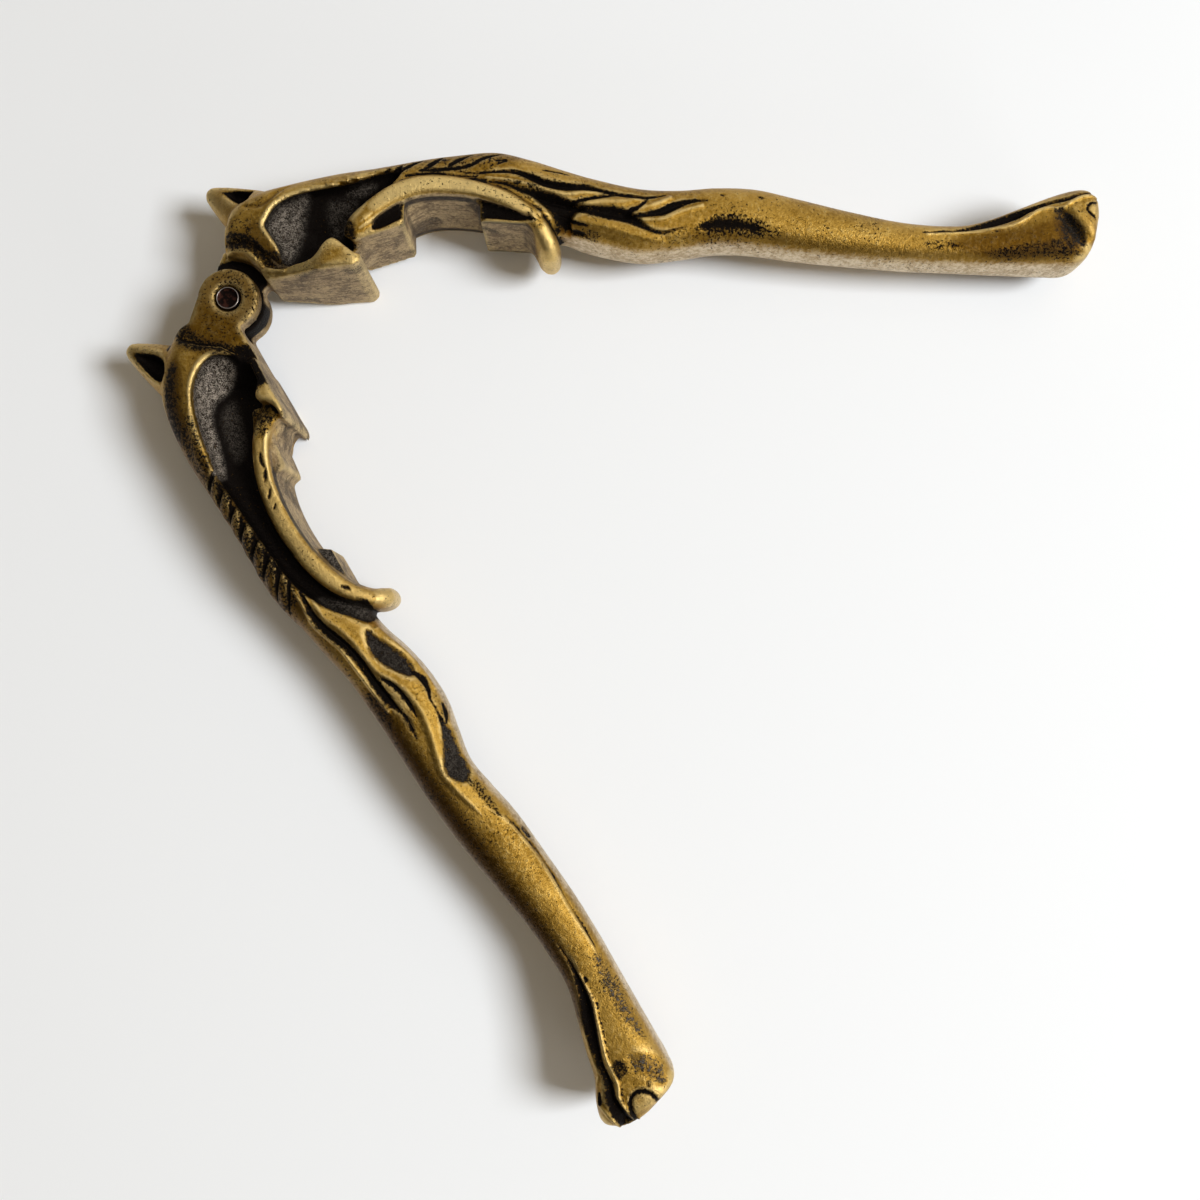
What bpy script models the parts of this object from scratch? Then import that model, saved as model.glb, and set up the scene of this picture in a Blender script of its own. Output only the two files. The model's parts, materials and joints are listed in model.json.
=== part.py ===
"""Cast brass nutcracker: two figural levers on one riveted hinge pin.

Each lever has a pointed hollow ear, a scooped cheek, stepped jaw blocks with a nut hollow, an arched
band that ends in a curled tip, and a long leg that ends in a cloven foot. The tool lies flat and open.
Lever frames: X runs from the hinge to the foot, Y points out of the jaws, Z is the hinge axis.
"""
import math

import bpy
import bmesh
from mathutils import Vector

MM = 0.001

# Pose: the closing line of each lever, measured from world X
UPPER_DIRECTION = math.radians(2.0)
LOWER_DIRECTION = math.radians(-60.0)

# Hinge
LUG_RADIUS = 4.85 * MM
TONGUE_RADIUS = 5.15 * MM
TONGUE_THICKNESS = 3.3 * MM
LUG_THICKNESS = 2.6 * MM
JOINT_GAP = 0.3 * MM
PIN_RADIUS = 1.5 * MM
BORE_CLEARANCE = 0.15 * MM
RIVET_RADIUS = 1.8 * MM
RIVET_HEIGHT = 0.55 * MM
RIVET_DISH = 0.25 * MM
RIVET_DISH_FLOOR_RADIUS = 1.08 * MM
RIVET_RIM_RADIUS = 1.55 * MM
RIVET_DISH_FLOOR_RISE = 0.08 * MM
RIVET_RIM_DROP = 0.13 * MM
RIVET_RECESS_CLEARANCE = 0.35 * MM
SEAT_CLEARANCE = 1.85 * MM
SLOT_CLEARANCE = 1.2 * MM
NECK_STEP = 0.2 * MM

# Castings
BAND_HALF_THICKNESS = 8.1 * MM
BAND_SQUARENESS = 4.4
BLOCK_SQUARENESS = 9.0
EAR_TIP_RADIUS = 0.7 * MM
EAR_BASE_HALF_THICKNESS = 5.2 * MM
EAR_SQUARENESS = 2.2
EAR_FULLNESS = 0.8
EAR_WEB = 2.0 * MM
CHEEK_WEB = 4.2 * MM
CLEFT_RADIUS = 0.75 * MM

# Points closer than this are welded into one
WELD_DISTANCE = 0.001 * MM

# Faces round a section and along each piece
SECTION_SIDES = 28
BAND_SIDES = 20
EAR_SIDES = 18
BODY_STEPS = 54
BAND_STEPS = 26
EAR_STEPS = 6
CLEFT_STEPS = 12
ROUND_SEGMENTS = 40

# Thickest part of the cheek blocks, in millimetres: the tool lies on these faces
CHEEK_HALF_THICKNESS = 9.0

# Body sections: X, inner edge, outer edge, half thickness, squareness (2 is an ellipse)
UPPER_BODY = (
    (-1.0, 7.2, 12.4, 4.8, 3.4),
    (0.8, 6.6, 15.6, 5.6, 3.6),
    (4.0, 4.8, 17.3, 6.1, 3.6),
    (9.0, 4.4, 18.5, 6.7, 3.4),
    (17.5, 5.0, 20.2, 7.0, 3.2),
    (24.0, 9.4, 20.9, 7.0, 3.0),
    (31.4, 14.0, 21.9, 6.8, 2.8),
    (37.0, 14.2, 22.7, 6.6, 2.6),
    (43.0, 12.0, 23.2, 6.4, 2.6),
    (48.4, 9.9, 21.8, 6.1, 2.8),
    (53.5, 9.0, 20.0, 5.8, 2.8),
    (58.1, 7.3, 18.5, 5.6, 2.8),
    (65.6, 5.6, 16.6, 5.3, 2.8),
    (71.8, 5.9, 16.1, 5.1, 2.8),
    (78.0, 6.5, 16.4, 5.0, 2.6),
    (84.3, 6.0, 16.0, 4.9, 2.5),
    (90.4, 4.9, 14.4, 4.7, 2.5),
    (99.8, 3.6, 11.7, 4.4, 2.5),
    (108.5, 2.6, 9.6, 4.2, 2.5),
    (116.8, 2.0, 8.8, 4.2, 2.6),
    (121.5, 1.7, 9.5, 4.5, 2.8),
    (126.5, 1.4, 11.1, 5.0, 3.0),
    (131.4, 1.2, 12.7, 5.6, 3.2),
    (135.2, 1.3, 13.6, 5.9, 3.2),
    (137.3, 3.2, 13.5, 5.7, 3.0),
    (138.5, 7.2, 12.3, 4.6, 2.6),
)
LOWER_BODY = (
    (0.4, 5.0, 10.4, 4.4, 2.4),
    (3.0, 1.6, 13.2, 5.5, 3.2),
    (6.7, 0.9, 16.2, 6.2, 3.4),
    (10.9, 0.9, 17.6, 6.7, 3.4),
    (17.0, 0.9, 18.3, 7.0, 3.2),
    (22.3, 2.2, 18.2, 7.0, 3.0),
    (28.0, 8.6, 17.7, 6.8, 2.8),
    (32.5, 10.3, 17.4, 6.7, 2.6),
    (38.0, 10.1, 17.3, 6.5, 2.6),
    (43.2, 7.4, 17.3, 6.3, 2.6),
    (47.9, 5.6, 16.5, 6.1, 2.8),
    (52.0, 5.2, 15.3, 5.9, 2.8),
    (56.8, 4.4, 14.3, 5.7, 2.8),
    (62.0, 2.7, 13.1, 5.4, 2.8),
    (67.5, 1.6, 12.5, 5.2, 2.8),
    (72.1, 1.4, 12.1, 5.1, 2.8),
    (77.3, 2.2, 11.9, 5.0, 2.6),
    (82.0, 2.8, 11.6, 4.9, 2.5),
    (87.0, 1.9, 11.2, 4.7, 2.5),
    (92.5, 0.7, 10.5, 4.5, 2.5),
    (99.8, -0.1, 9.2, 4.4, 2.5),
    (108.1, -0.9, 7.7, 4.2, 2.5),
    (115.3, -1.2, 6.9, 4.2, 2.6),
    (119.5, -1.2, 6.9, 4.4, 2.8),
    (124.5, -1.2, 8.0, 4.8, 3.0),
    (129.5, -1.2, 9.2, 5.3, 3.2),
    (133.0, -1.2, 9.9, 5.7, 3.4),
    (136.6, -1.2, 11.6, 5.9, 3.4),
    (139.2, -0.4, 12.0, 5.8, 3.2),
    (140.8, 3.8, 10.4, 4.6, 2.6),
)

# Band centrelines: X, Y, width, share of the band's half thickness
UPPER_BAND = (
    (19.5, 8.4, 2.2, 0.84),
    (20.7, 10.1, 3.3, 0.98),
    (23.4, 12.3, 3.4, 1.0),
    (27.0, 14.5, 3.4, 1.0),
    (31.0, 15.7, 3.3, 1.0),
    (35.5, 15.7, 3.2, 0.98),
    (40.5, 14.8, 3.1, 0.96),
    (45.3, 12.9, 3.2, 0.92),
    (48.8, 10.4, 3.5, 0.84),
    (50.5, 7.8, 3.9, 0.72),
    (51.0, 6.0, 3.7, 0.6),
    (51.1, 4.7, 2.3, 0.38),
)
LOWER_BAND = (
    (19.8, 2.2, 2.0, 0.82),
    (21.0, 3.9, 3.0, 0.96),
    (23.8, 6.1, 3.2, 0.95),
    (27.8, 8.0, 3.1, 0.92),
    (32.0, 9.1, 3.1, 0.89),
    (36.8, 9.2, 3.1, 0.88),
    (42.2, 8.5, 3.1, 0.88),
    (46.8, 7.1, 3.2, 0.86),
    (50.4, 5.2, 3.3, 0.8),
    (52.6, 3.0, 3.6, 0.7),
    (53.2, 1.4, 3.5, 0.6),
    (53.3, 0.1, 2.3, 0.38),
)

# Cheek blocks beside the hinge, each with a pointed nose plate: X, inner edge, outer edge, half thickness
UPPER_CHEEK_BLOCK = (
    (5.4, 2.4, 4.2, 5.3),
    (9.0, 2.4, 4.0, 6.2),
    (12.0, 2.45, 4.2, 7.1),
    (14.2, 2.5, 4.7, 7.7),
    (15.3, 2.55, 5.5, 8.1),
    (16.2, 2.6, 6.8, 8.4),
    (17.5, 2.7, 7.8, 8.8),
    (19.4, 2.85, 6.4, CHEEK_HALF_THICKNESS),
    (20.8, 3.0, 5.3, CHEEK_HALF_THICKNESS),
    (21.8, 3.7, 5.1, 8.5),
)
LOWER_CHEEK_BLOCK = (
    (4.2, 0.55, 1.8, 5.3),
    (8.5, 0.55, 1.7, 6.2),
    (13.5, 0.5, 1.8, 7.7),
    (15.4, 0.5, 2.0, 8.2),
    (16.6, 0.5, 2.7, 8.6),
    (18.1, 0.5, 3.5, CHEEK_HALF_THICKNESS),
    (19.8, 0.55, 2.6, CHEEK_HALF_THICKNESS),
    (21.2, 0.6, 1.9, CHEEK_HALF_THICKNESS),
    (22.4, 1.2, 1.9, 8.5),
)

# Jaw steps: half thickness and plan outline
UPPER_STEPS = (
    (6.6, ((20.5, 7.8), (28.4, 10.1), (28.4, 14.2), (24.0, 13.2), (20.5, 10.6))),
    (6.2, ((40.4, 10.4), (48.9, 9.6), (50.2, 11.4), (46.6, 14.0), (40.4, 15.4))),
)
LOWER_STEPS = (
    (5.6, ((21.5, 4.2), (28.4, 4.9), (29.0, 7.0), (28.3, 8.6), (24.0, 7.4), (20.5, 5.9))),
    (4.6, ((43.2, 5.1), (49.9, 5.0), (51.4, 5.9), (48.0, 7.8), (41.0, 9.4), (41.5, 7.4))),
)

# Scooped cheeks in plan
UPPER_CHEEK = (
    (9.2, 5.2), (8.4, 7.0), (7.2, 9.0), (6.3, 10.9), (7.0, 12.7), (8.3, 14.2), (10.3, 15.4),
    (13.0, 16.2), (17.0, 16.9), (21.6, 17.6), (26.8, 18.7), (24.9, 16.2), (21.4, 13.9), (18.6, 11.4),
    (16.4, 9.0), (14.6, 6.4), (12.2, 5.1),
)
LOWER_CHEEK = (
    (10.2, 2.8), (8.4, 4.3), (7.6, 5.9), (7.6, 7.2), (8.3, 8.7), (9.6, 10.4), (11.4, 11.7), (14.0, 12.8),
    (18.0, 13.8), (22.6, 14.6), (29.0, 14.4), (37.0, 13.7), (43.0, 12.9), (48.0, 11.4), (51.2, 9.4),
    (52.8, 7.4), (50.4, 7.6), (47.4, 9.3), (42.6, 10.7), (36.8, 11.3), (31.6, 11.1), (27.2, 10.2),
    (22.6, 8.2), (18.6, 5.4), (15.4, 3.4), (13.0, 2.7),
)

# Ears: base centre, tip, base width, and the hollow in plan
UPPER_EAR = {"base": (3.4, 14.5), "tip": (-4.5, 19.3), "width": 9.2}
LOWER_EAR = {"base": (5.2, 13.2), "tip": (-2.7, 18.4), "width": 9.2}
UPPER_EAR_HOLLOW = ((-1.6, 18.2), (1.3, 16.0), (3.0, 16.2), (3.2, 18.0))
LOWER_EAR_HOLLOW = ((-0.6, 17.3), (1.0, 15.1), (3.2, 13.8), (5.4, 14.3), (6.0, 15.6), (4.0, 16.9))

# Necks that carry the tongue and the fork, in plan
UPPER_NECK = ((-3.8, 2.6), (-1.7, 8.4), (1.0, 10.4), (9.0, 8.6), (8.6, 5.4), (4.6, 2.2))
LOWER_NECK = ((4.6, 0.7), (10.0, 0.8), (9.0, 6.0), (4.8, 10.4), (2.0, 8.8), (-0.1, 6.8), (-2.2, 4.6), (-3.9, 2.6))

# Shelf round each lug, cut down to the lug's face, in plan
LOWER_SHELF = (
    (-3.0, 8.4), (0.0, 9.6), (2.6, 9.6), (4.2, 8.0), (5.8, 6.2), (7.2, 4.3), (9.0, 3.1), (10.6, 2.8),
    (11.0, 0.0), (4.0, -4.0), (-6.0, 0.0),
)

# Foot clefts: X, Y along the groove
UPPER_CLEFT = ((112.0, 8.9), (119.0, 9.0), (125.0, 10.1), (130.0, 11.4), (135.0, 12.3), (140.5, 12.7))
LOWER_CLEFT = ((113.0, 6.3), (120.0, 6.3), (126.0, 7.3), (131.0, 8.3), (135.0, 9.1), (142.5, 9.6))
CLEFT_HEIGHT = 5.0 * MM

FORK_HALF = TONGUE_THICKNESS / 2 + JOINT_GAP
KNUCKLE_HALF = FORK_HALF + LUG_THICKNESS
BORE_RADIUS = PIN_RADIUS + BORE_CLEARANCE
RIVET_RECESS_RADIUS = RIVET_RADIUS + RIVET_RECESS_CLEARANCE
RIVET_RECESS_DEPTH = RIVET_HEIGHT + JOINT_GAP


def clear_scene():
    for old in list(bpy.data.objects):
        bpy.data.objects.remove(old, do_unlink=True)


def new_collection(name):
    collection = bpy.data.collections.new(name)
    bpy.context.scene.collection.children.link(collection)
    return collection


def new_material(name, colour, roughness):
    material = bpy.data.materials.new(name)
    material.use_nodes = True
    shader = material.node_tree.nodes["Principled BSDF"]
    shader.inputs["Base Color"].default_value = (*colour, 1.0)
    shader.inputs["Metallic"].default_value = 1.0
    shader.inputs["Roughness"].default_value = roughness
    return material


def new_object(name, mesh, collection):
    obj = bpy.data.objects.new(name, mesh)
    collection.objects.link(obj)
    return obj


def as_tool(obj):
    """Marks a hidden shape that only cuts or joins another."""
    obj.hide_render = True
    obj.display_type = "WIRE"
    return obj


def hermite(rows, x):
    """Row of a station table at x: a cubic through the rows with three-point slopes."""
    last = len(rows) - 1
    i = max(0, min(last - 1, sum(1 for row in rows[1:-1] if row[0] <= x)))
    before, start, end, after = rows[max(i - 1, 0)], rows[i], rows[i + 1], rows[min(i + 2, last)]
    span = end[0] - start[0]
    t = (x - start[0]) / span
    values = []
    for column in range(len(start)):
        slope_in = (end[column] - before[column]) / (end[0] - before[0]) * span
        slope_out = (after[column] - start[column]) / (after[0] - start[0]) * span
        values.append(
            (2 * t**3 - 3 * t**2 + 1) * start[column]
            + (t**3 - 2 * t**2 + t) * slope_in
            + (3 * t**2 - 2 * t**3) * end[column]
            + (t**3 - t**2) * slope_out
        )
    return values


def catmull(points, steps):
    """Evenly stepped Catmull-Rom curve through rows of any width."""
    result = []
    for step in range(steps + 1):
        place = step / steps * (len(points) - 1)
        i = min(int(place), len(points) - 2)
        t = place - i
        before, start, end, after = (
            points[max(i - 1, 0)], points[i], points[i + 1], points[min(i + 2, len(points) - 1)])
        result.append([
            0.5 * (2 * b + (c - a) * t + (2 * a - 5 * b + 4 * c - d) * t**2 + (3 * b - a - 3 * c + d) * t**3)
            for a, b, c, d in zip(before, start, end, after)
        ])
    return result


def superellipse(half_width, half_height, power, count):
    """Points round a superellipse, as pairs across and up."""
    ring = []
    for step in range(count):
        angle = 2 * math.pi * (step + 0.5) / count
        across, up = math.cos(angle), math.sin(angle)
        ring.append((
            half_width * math.copysign(abs(across) ** (2 / power), across),
            half_height * math.copysign(abs(up) ** (2 / power), up),
        ))
    return ring


def loft(name, rings, collection):
    """Closed skin over rings with the same number of points, with a face over each end."""
    count = len(rings[0])
    vertices = [point for ring in rings for point in ring]
    faces = [tuple(range(count)), tuple(range(len(vertices) - count, len(vertices)))]
    for ring in range(len(rings) - 1):
        for side in range(count):
            a = ring * count + side
            b = ring * count + (side + 1) % count
            faces.append((a, b, b + count, a + count))
    mesh = bpy.data.meshes.new(name)
    mesh.from_pydata(vertices, [], faces)
    face_outwards(mesh)
    return new_object(name, mesh, collection)


def face_outwards(mesh):
    shell = bmesh.new()
    shell.from_mesh(mesh)
    bmesh.ops.recalc_face_normals(shell, faces=shell.faces)
    shell.to_mesh(mesh)
    shell.free()


def plate(name, outline, low, high, side, collection):
    """Flat outline in plan, in millimetres, made solid between two heights."""
    curve = bpy.data.curves.new(name, "CURVE")
    curve.dimensions = "2D"
    curve.fill_mode = "BOTH"
    curve.extrude = (high - low) / 2
    spline = curve.splines.new("POLY")
    spline.points.add(len(outline) - 1)
    for point, (x, y) in zip(spline.points, outline):
        point.co = (x * MM, side * y * MM, 0.0, 1.0)
    spline.use_cyclic_u = True
    drawn = new_object(name + "_outline", curve, collection)
    drawn.location.z = (high + low) / 2
    bpy.context.view_layer.update()
    evaluated = drawn.evaluated_get(bpy.context.evaluated_depsgraph_get())
    mesh = bpy.data.meshes.new_from_object(evaluated)
    mesh.name = name
    mesh.transform(drawn.matrix_world)
    bpy.data.objects.remove(drawn)
    shell = bmesh.new()
    shell.from_mesh(mesh)
    bmesh.ops.remove_doubles(shell, verts=shell.verts, dist=WELD_DISTANCE)
    bmesh.ops.recalc_face_normals(shell, faces=shell.faces)
    shell.to_mesh(mesh)
    shell.free()
    return new_object(name, mesh, collection)


def rounded_plan(outline, steps_per_side=3):
    """Closed smooth outline through the given corners."""
    closed = [outline[-1], *outline, outline[0], outline[1]]
    points = []
    for i in range(1, len(outline) + 1):
        a, b, c, d = closed[i - 1], closed[i], closed[i + 1], closed[i + 2]
        for step in range(steps_per_side):
            t = step / steps_per_side
            points.append(tuple(
                0.5 * (2 * q + (r - p) * t + (2 * p - 5 * q + 4 * r - s) * t**2 + (3 * q - p - 3 * r + s) * t**3)
                for p, q, r, s in zip(a, b, c, d)
            ))
    return points


def disc(name, radius, low, high, collection):
    """Solid cylinder on the hinge axis."""
    mesh = bpy.data.meshes.new(name)
    shell = bmesh.new()
    bmesh.ops.create_cone(
        shell, cap_ends=True, segments=ROUND_SEGMENTS, radius1=radius, radius2=radius, depth=high - low)
    bmesh.ops.translate(shell, vec=Vector((0, 0, (high + low) / 2)), verts=shell.verts)
    shell.to_mesh(mesh)
    shell.free()
    return new_object(name, mesh, collection)


def apply_boolean(obj, tool, operation):
    """Joins or cuts obj with a tool that moves with it."""
    tool.parent = obj
    modifier = obj.modifiers.new(tool.name, "BOOLEAN")
    modifier.operation = operation
    modifier.solver = "EXACT"
    modifier.object = as_tool(tool)


def body_shell(name, table, side, collection):
    """Head and leg in one skin: superellipse sections square to the lever."""
    first, last = table[0][0], table[-1][0]
    rings = []
    for step in range(BODY_STEPS + 1):
        x, inner, outer, half, power = hermite(table, first + (last - first) * step / BODY_STEPS)
        section = superellipse((outer - inner) / 2 * MM, half * MM, power, SECTION_SIDES)
        middle = (outer + inner) / 2 * MM
        rings.append([(x * MM, side * (middle + across), up) for across, up in section])
    return loft(name, rings, collection)


def block_shell(name, table, side, collection):
    """Wedge beside the hinge, thicker towards the nut hollow, with eased edges."""
    rings = []
    for x, inner, outer, half in table:
        section = superellipse((outer - inner) / 2 * MM, half * MM, BLOCK_SQUARENESS, SECTION_SIDES)
        middle = (outer + inner) / 2 * MM
        rings.append([(x * MM, side * (middle + across), up) for across, up in section])
    return loft(name, rings, collection)


def band_shell(name, table, side, collection):
    """Arched band carried along its centreline, ending in the curled tip."""
    path = catmull(table, BAND_STEPS)
    rings = []
    for i, (x, y, width, share) in enumerate(path):
        ahead, behind = path[min(i + 1, BAND_STEPS)], path[max(i - 1, 0)]
        run = Vector((ahead[0] - behind[0], ahead[1] - behind[1])).normalized()
        section = superellipse(width / 2 * MM, BAND_HALF_THICKNESS * share, BAND_SQUARENESS, BAND_SIDES)
        rings.append([
            (x * MM - run.y * across, side * (y * MM + run.x * across), up) for across, up in section
        ])
    return loft(name, rings, collection)


def ear_shell(name, ear, side, collection):
    """Pointed ear: sections shrink from the head to the tip."""
    base, tip = Vector(ear["base"]) * MM, Vector(ear["tip"]) * MM
    run = (tip - base).normalized()
    rings = []
    for step in range(EAR_STEPS + 1):
        share = step / EAR_STEPS
        centre = base.lerp(tip, share)
        half_width = (ear["width"] / 2 * MM) * (1 - share) ** EAR_FULLNESS + EAR_TIP_RADIUS * share
        half_height = EAR_BASE_HALF_THICKNESS * (1 - share) + EAR_TIP_RADIUS * share
        section = superellipse(half_width, half_height, EAR_SQUARENESS, EAR_SIDES)
        rings.append([
            (centre.x - run.y * across, side * (centre.y + run.x * across), up) for across, up in section
        ])
    return loft(name, rings, collection)


def cleft_tool(name, groove, height, side, collection):
    """Round tool laid along the groove between the toes."""
    curve = bpy.data.curves.new(name, "CURVE")
    curve.dimensions = "3D"
    curve.bevel_depth = CLEFT_RADIUS
    curve.bevel_resolution = 2
    curve.use_fill_caps = True
    spline = curve.splines.new("POLY")
    points = catmull(groove, CLEFT_STEPS)
    spline.points.add(len(points) - 1)
    for point, (x, y) in zip(spline.points, points):
        point.co = (x * MM, side * y * MM, height, 1.0)
    drawn = new_object(name + "_path", curve, collection)
    bpy.context.view_layer.update()
    evaluated = drawn.evaluated_get(bpy.context.evaluated_depsgraph_get())
    mesh = bpy.data.meshes.new_from_object(evaluated)
    bpy.data.objects.remove(drawn)
    shell = bmesh.new()
    shell.from_mesh(mesh)
    bmesh.ops.remove_doubles(shell, verts=shell.verts, dist=WELD_DISTANCE)
    bmesh.ops.recalc_face_normals(shell, faces=shell.faces)
    shell.to_mesh(mesh)
    shell.free()
    return new_object(name, mesh, collection)


def add_head(lever, label, shapes, side, tools):
    """Joins the ear, the band and the jaw blocks to the body."""
    joined = [
        ear_shell(label + "_ear", shapes["ear"], side, tools),
        band_shell(label + "_band", shapes["band"], side, tools),
        block_shell(label + "_cheek_block", shapes["cheek_block"], side, tools),
    ]
    for number, (half, outline) in enumerate(shapes["steps"], start=1):
        joined.append(plate(f"{label}_jaw_step_{number}", outline, -half * MM, half * MM, side, tools))
    for tool in joined:
        apply_boolean(lever, tool, "UNION")


def carve_faces(lever, label, shapes, side, tools):
    """Scoops the cheek and the ear and cuts the cleft, alike on both faces."""
    clear = 2 * KNUCKLE_HALF
    for face, sign in (("near", 1), ("far", -1)):
        for feature, outline, web in (
            ("cheek", rounded_plan(shapes["cheek"]), CHEEK_WEB),
            ("ear_hollow", rounded_plan(shapes["ear_hollow"]), EAR_WEB),
        ):
            low, high = sorted((sign * web / 2, sign * clear))
            tool = plate(f"{label}_{feature}_{face}", outline, low, high, side, tools)
            apply_boolean(lever, tool, "DIFFERENCE")
        tool = cleft_tool(f"{label}_cleft_{face}", shapes["cleft"], sign * CLEFT_HEIGHT, side, tools)
        apply_boolean(lever, tool, "DIFFERENCE")


def drill(lever, label, tools):
    apply_boolean(lever, disc(label + "_bore", BORE_RADIUS, -2 * KNUCKLE_HALF, 2 * KNUCKLE_HALF, tools), "DIFFERENCE")


def build_upper(parts, tools, finish):
    """Upper lever: a round seat for each lug, and the tongue between them."""
    shapes = {
        "ear": UPPER_EAR, "band": UPPER_BAND, "cheek_block": UPPER_CHEEK_BLOCK, "steps": UPPER_STEPS,
        "cheek": UPPER_CHEEK, "ear_hollow": UPPER_EAR_HOLLOW, "cleft": UPPER_CLEFT,
    }
    lever = body_shell("upper_lever", UPPER_BODY, 1, parts)
    lever.data.materials.append(finish)
    add_head(lever, "upper", shapes, 1, tools)
    seat_radius = LUG_RADIUS + SEAT_CLEARANCE
    seat = disc("upper_seat", seat_radius, -2 * KNUCKLE_HALF, 2 * KNUCKLE_HALF, tools)
    apply_boolean(lever, seat, "DIFFERENCE")
    half = TONGUE_THICKNESS / 2
    neck_half = half - NECK_STEP
    apply_boolean(lever, plate("upper_neck", UPPER_NECK, -neck_half, neck_half, 1, tools), "UNION")
    apply_boolean(lever, disc("upper_tongue", TONGUE_RADIUS, -half, half, tools), "UNION")
    carve_faces(lever, "upper", shapes, 1, tools)
    drill(lever, "upper", tools)
    return lever


def build_lower(parts, tools, finish):
    """Lower lever: a fork of two lugs with the slot for the tongue between them."""
    shapes = {
        "ear": LOWER_EAR, "band": LOWER_BAND, "cheek_block": LOWER_CHEEK_BLOCK, "steps": LOWER_STEPS,
        "cheek": LOWER_CHEEK, "ear_hollow": LOWER_EAR_HOLLOW, "cleft": LOWER_CLEFT,
    }
    lever = body_shell("lower_lever", LOWER_BODY, -1, parts)
    lever.data.materials.append(finish)
    add_head(lever, "lower", shapes, -1, tools)
    for face, sign in (("near", 1), ("far", -1)):
        low, high = sorted((sign * KNUCKLE_HALF, sign * 2 * KNUCKLE_HALF))
        shelf = plate(f"lower_shelf_{face}", rounded_plan(LOWER_SHELF), low, high, -1, tools)
        apply_boolean(lever, shelf, "DIFFERENCE")
    neck_half = KNUCKLE_HALF - NECK_STEP
    apply_boolean(lever, plate("lower_neck", LOWER_NECK, -neck_half, neck_half, -1, tools), "UNION")
    apply_boolean(lever, disc("lower_lugs", LUG_RADIUS, -KNUCKLE_HALF, KNUCKLE_HALF, tools), "UNION")
    slot_radius = TONGUE_RADIUS + SLOT_CLEARANCE
    apply_boolean(lever, disc("lower_slot", slot_radius, -FORK_HALF, FORK_HALF, tools), "DIFFERENCE")
    carve_faces(lever, "lower", shapes, -1, tools)
    drill(lever, "lower", tools)
    for face, sign in (("near", 1), ("far", -1)):
        low, high = sorted((sign * (KNUCKLE_HALF - RIVET_RECESS_DEPTH), sign * 2 * KNUCKLE_HALF))
        recess = disc(f"lower_rivet_recess_{face}", RIVET_RECESS_RADIUS, low, high, tools)
        apply_boolean(lever, recess, "DIFFERENCE")
    return lever


def build_pin(parts, finish):
    """Rivet with a dished head at each end, turned from its profile."""
    head_top = KNUCKLE_HALF
    head_under = KNUCKLE_HALF - RIVET_HEIGHT
    profile = [
        (0.0, head_top - RIVET_DISH),
        (RIVET_DISH_FLOOR_RADIUS, head_top - RIVET_DISH + RIVET_DISH_FLOOR_RISE),
        (RIVET_RIM_RADIUS, head_top),
        (RIVET_RADIUS, head_top - RIVET_RIM_DROP),
        (RIVET_RADIUS, head_under),
        (PIN_RADIUS, head_under),
    ]
    profile += [(radius, -height) for radius, height in reversed(profile)]
    mesh = bpy.data.meshes.new("hinge_pin")
    edges = [(i, i + 1) for i in range(len(profile) - 1)]
    mesh.from_pydata([(radius, 0.0, height) for radius, height in profile], edges, [])
    pin = new_object("hinge_pin", mesh, parts)
    turn = pin.modifiers.new("turned", "SCREW")
    turn.axis = "Z"
    turn.steps = ROUND_SEGMENTS
    turn.render_steps = ROUND_SEGMENTS
    turn.use_merge_vertices = True
    turn.merge_threshold = WELD_DISTANCE
    turn.use_smooth_shade = True
    mesh.materials.append(finish)
    return pin


def empty(name, parent, collection):
    obj = bpy.data.objects.new(name, None)
    obj.empty_display_size = 5 * MM
    collection.objects.link(obj)
    obj.parent = parent
    return obj


def stand_on_origin(root, pieces):
    """Moves the whole tool so that the centre of its base lies on the world origin."""
    bpy.context.view_layer.update()
    graph = bpy.context.evaluated_depsgraph_get()
    corners = []
    for piece in pieces:
        evaluated = piece.evaluated_get(graph)
        corners += [evaluated.matrix_world @ vertex.co for vertex in evaluated.data.vertices]
    low = Vector([min(point[axis] for point in corners) for axis in range(3)])
    high = Vector([max(point[axis] for point in corners) for axis in range(3)])
    root.location = (-(low.x + high.x) / 2, -(low.y + high.y) / 2, -low.z)


def main():
    clear_scene()
    parts = new_collection("figural_nutcracker")
    tools = new_collection("cutters")
    brass = new_material("cast_brass", (0.46, 0.31, 0.10), 0.38)
    steel = new_material("dark_steel", (0.10, 0.07, 0.06), 0.45)
    root = empty("nutcracker", None, parts)
    hinge = empty("hinge_axis", root, parts)
    upper = build_upper(parts, tools, brass)
    upper.parent = hinge
    upper.rotation_euler.z = UPPER_DIRECTION
    lower = build_lower(parts, tools, brass)
    lower.parent = root
    lower.rotation_euler.z = LOWER_DIRECTION
    pin = build_pin(parts, steel)
    pin.parent = root
    stand_on_origin(root, (upper, lower, pin))


main()
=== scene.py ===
import json
import math

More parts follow.
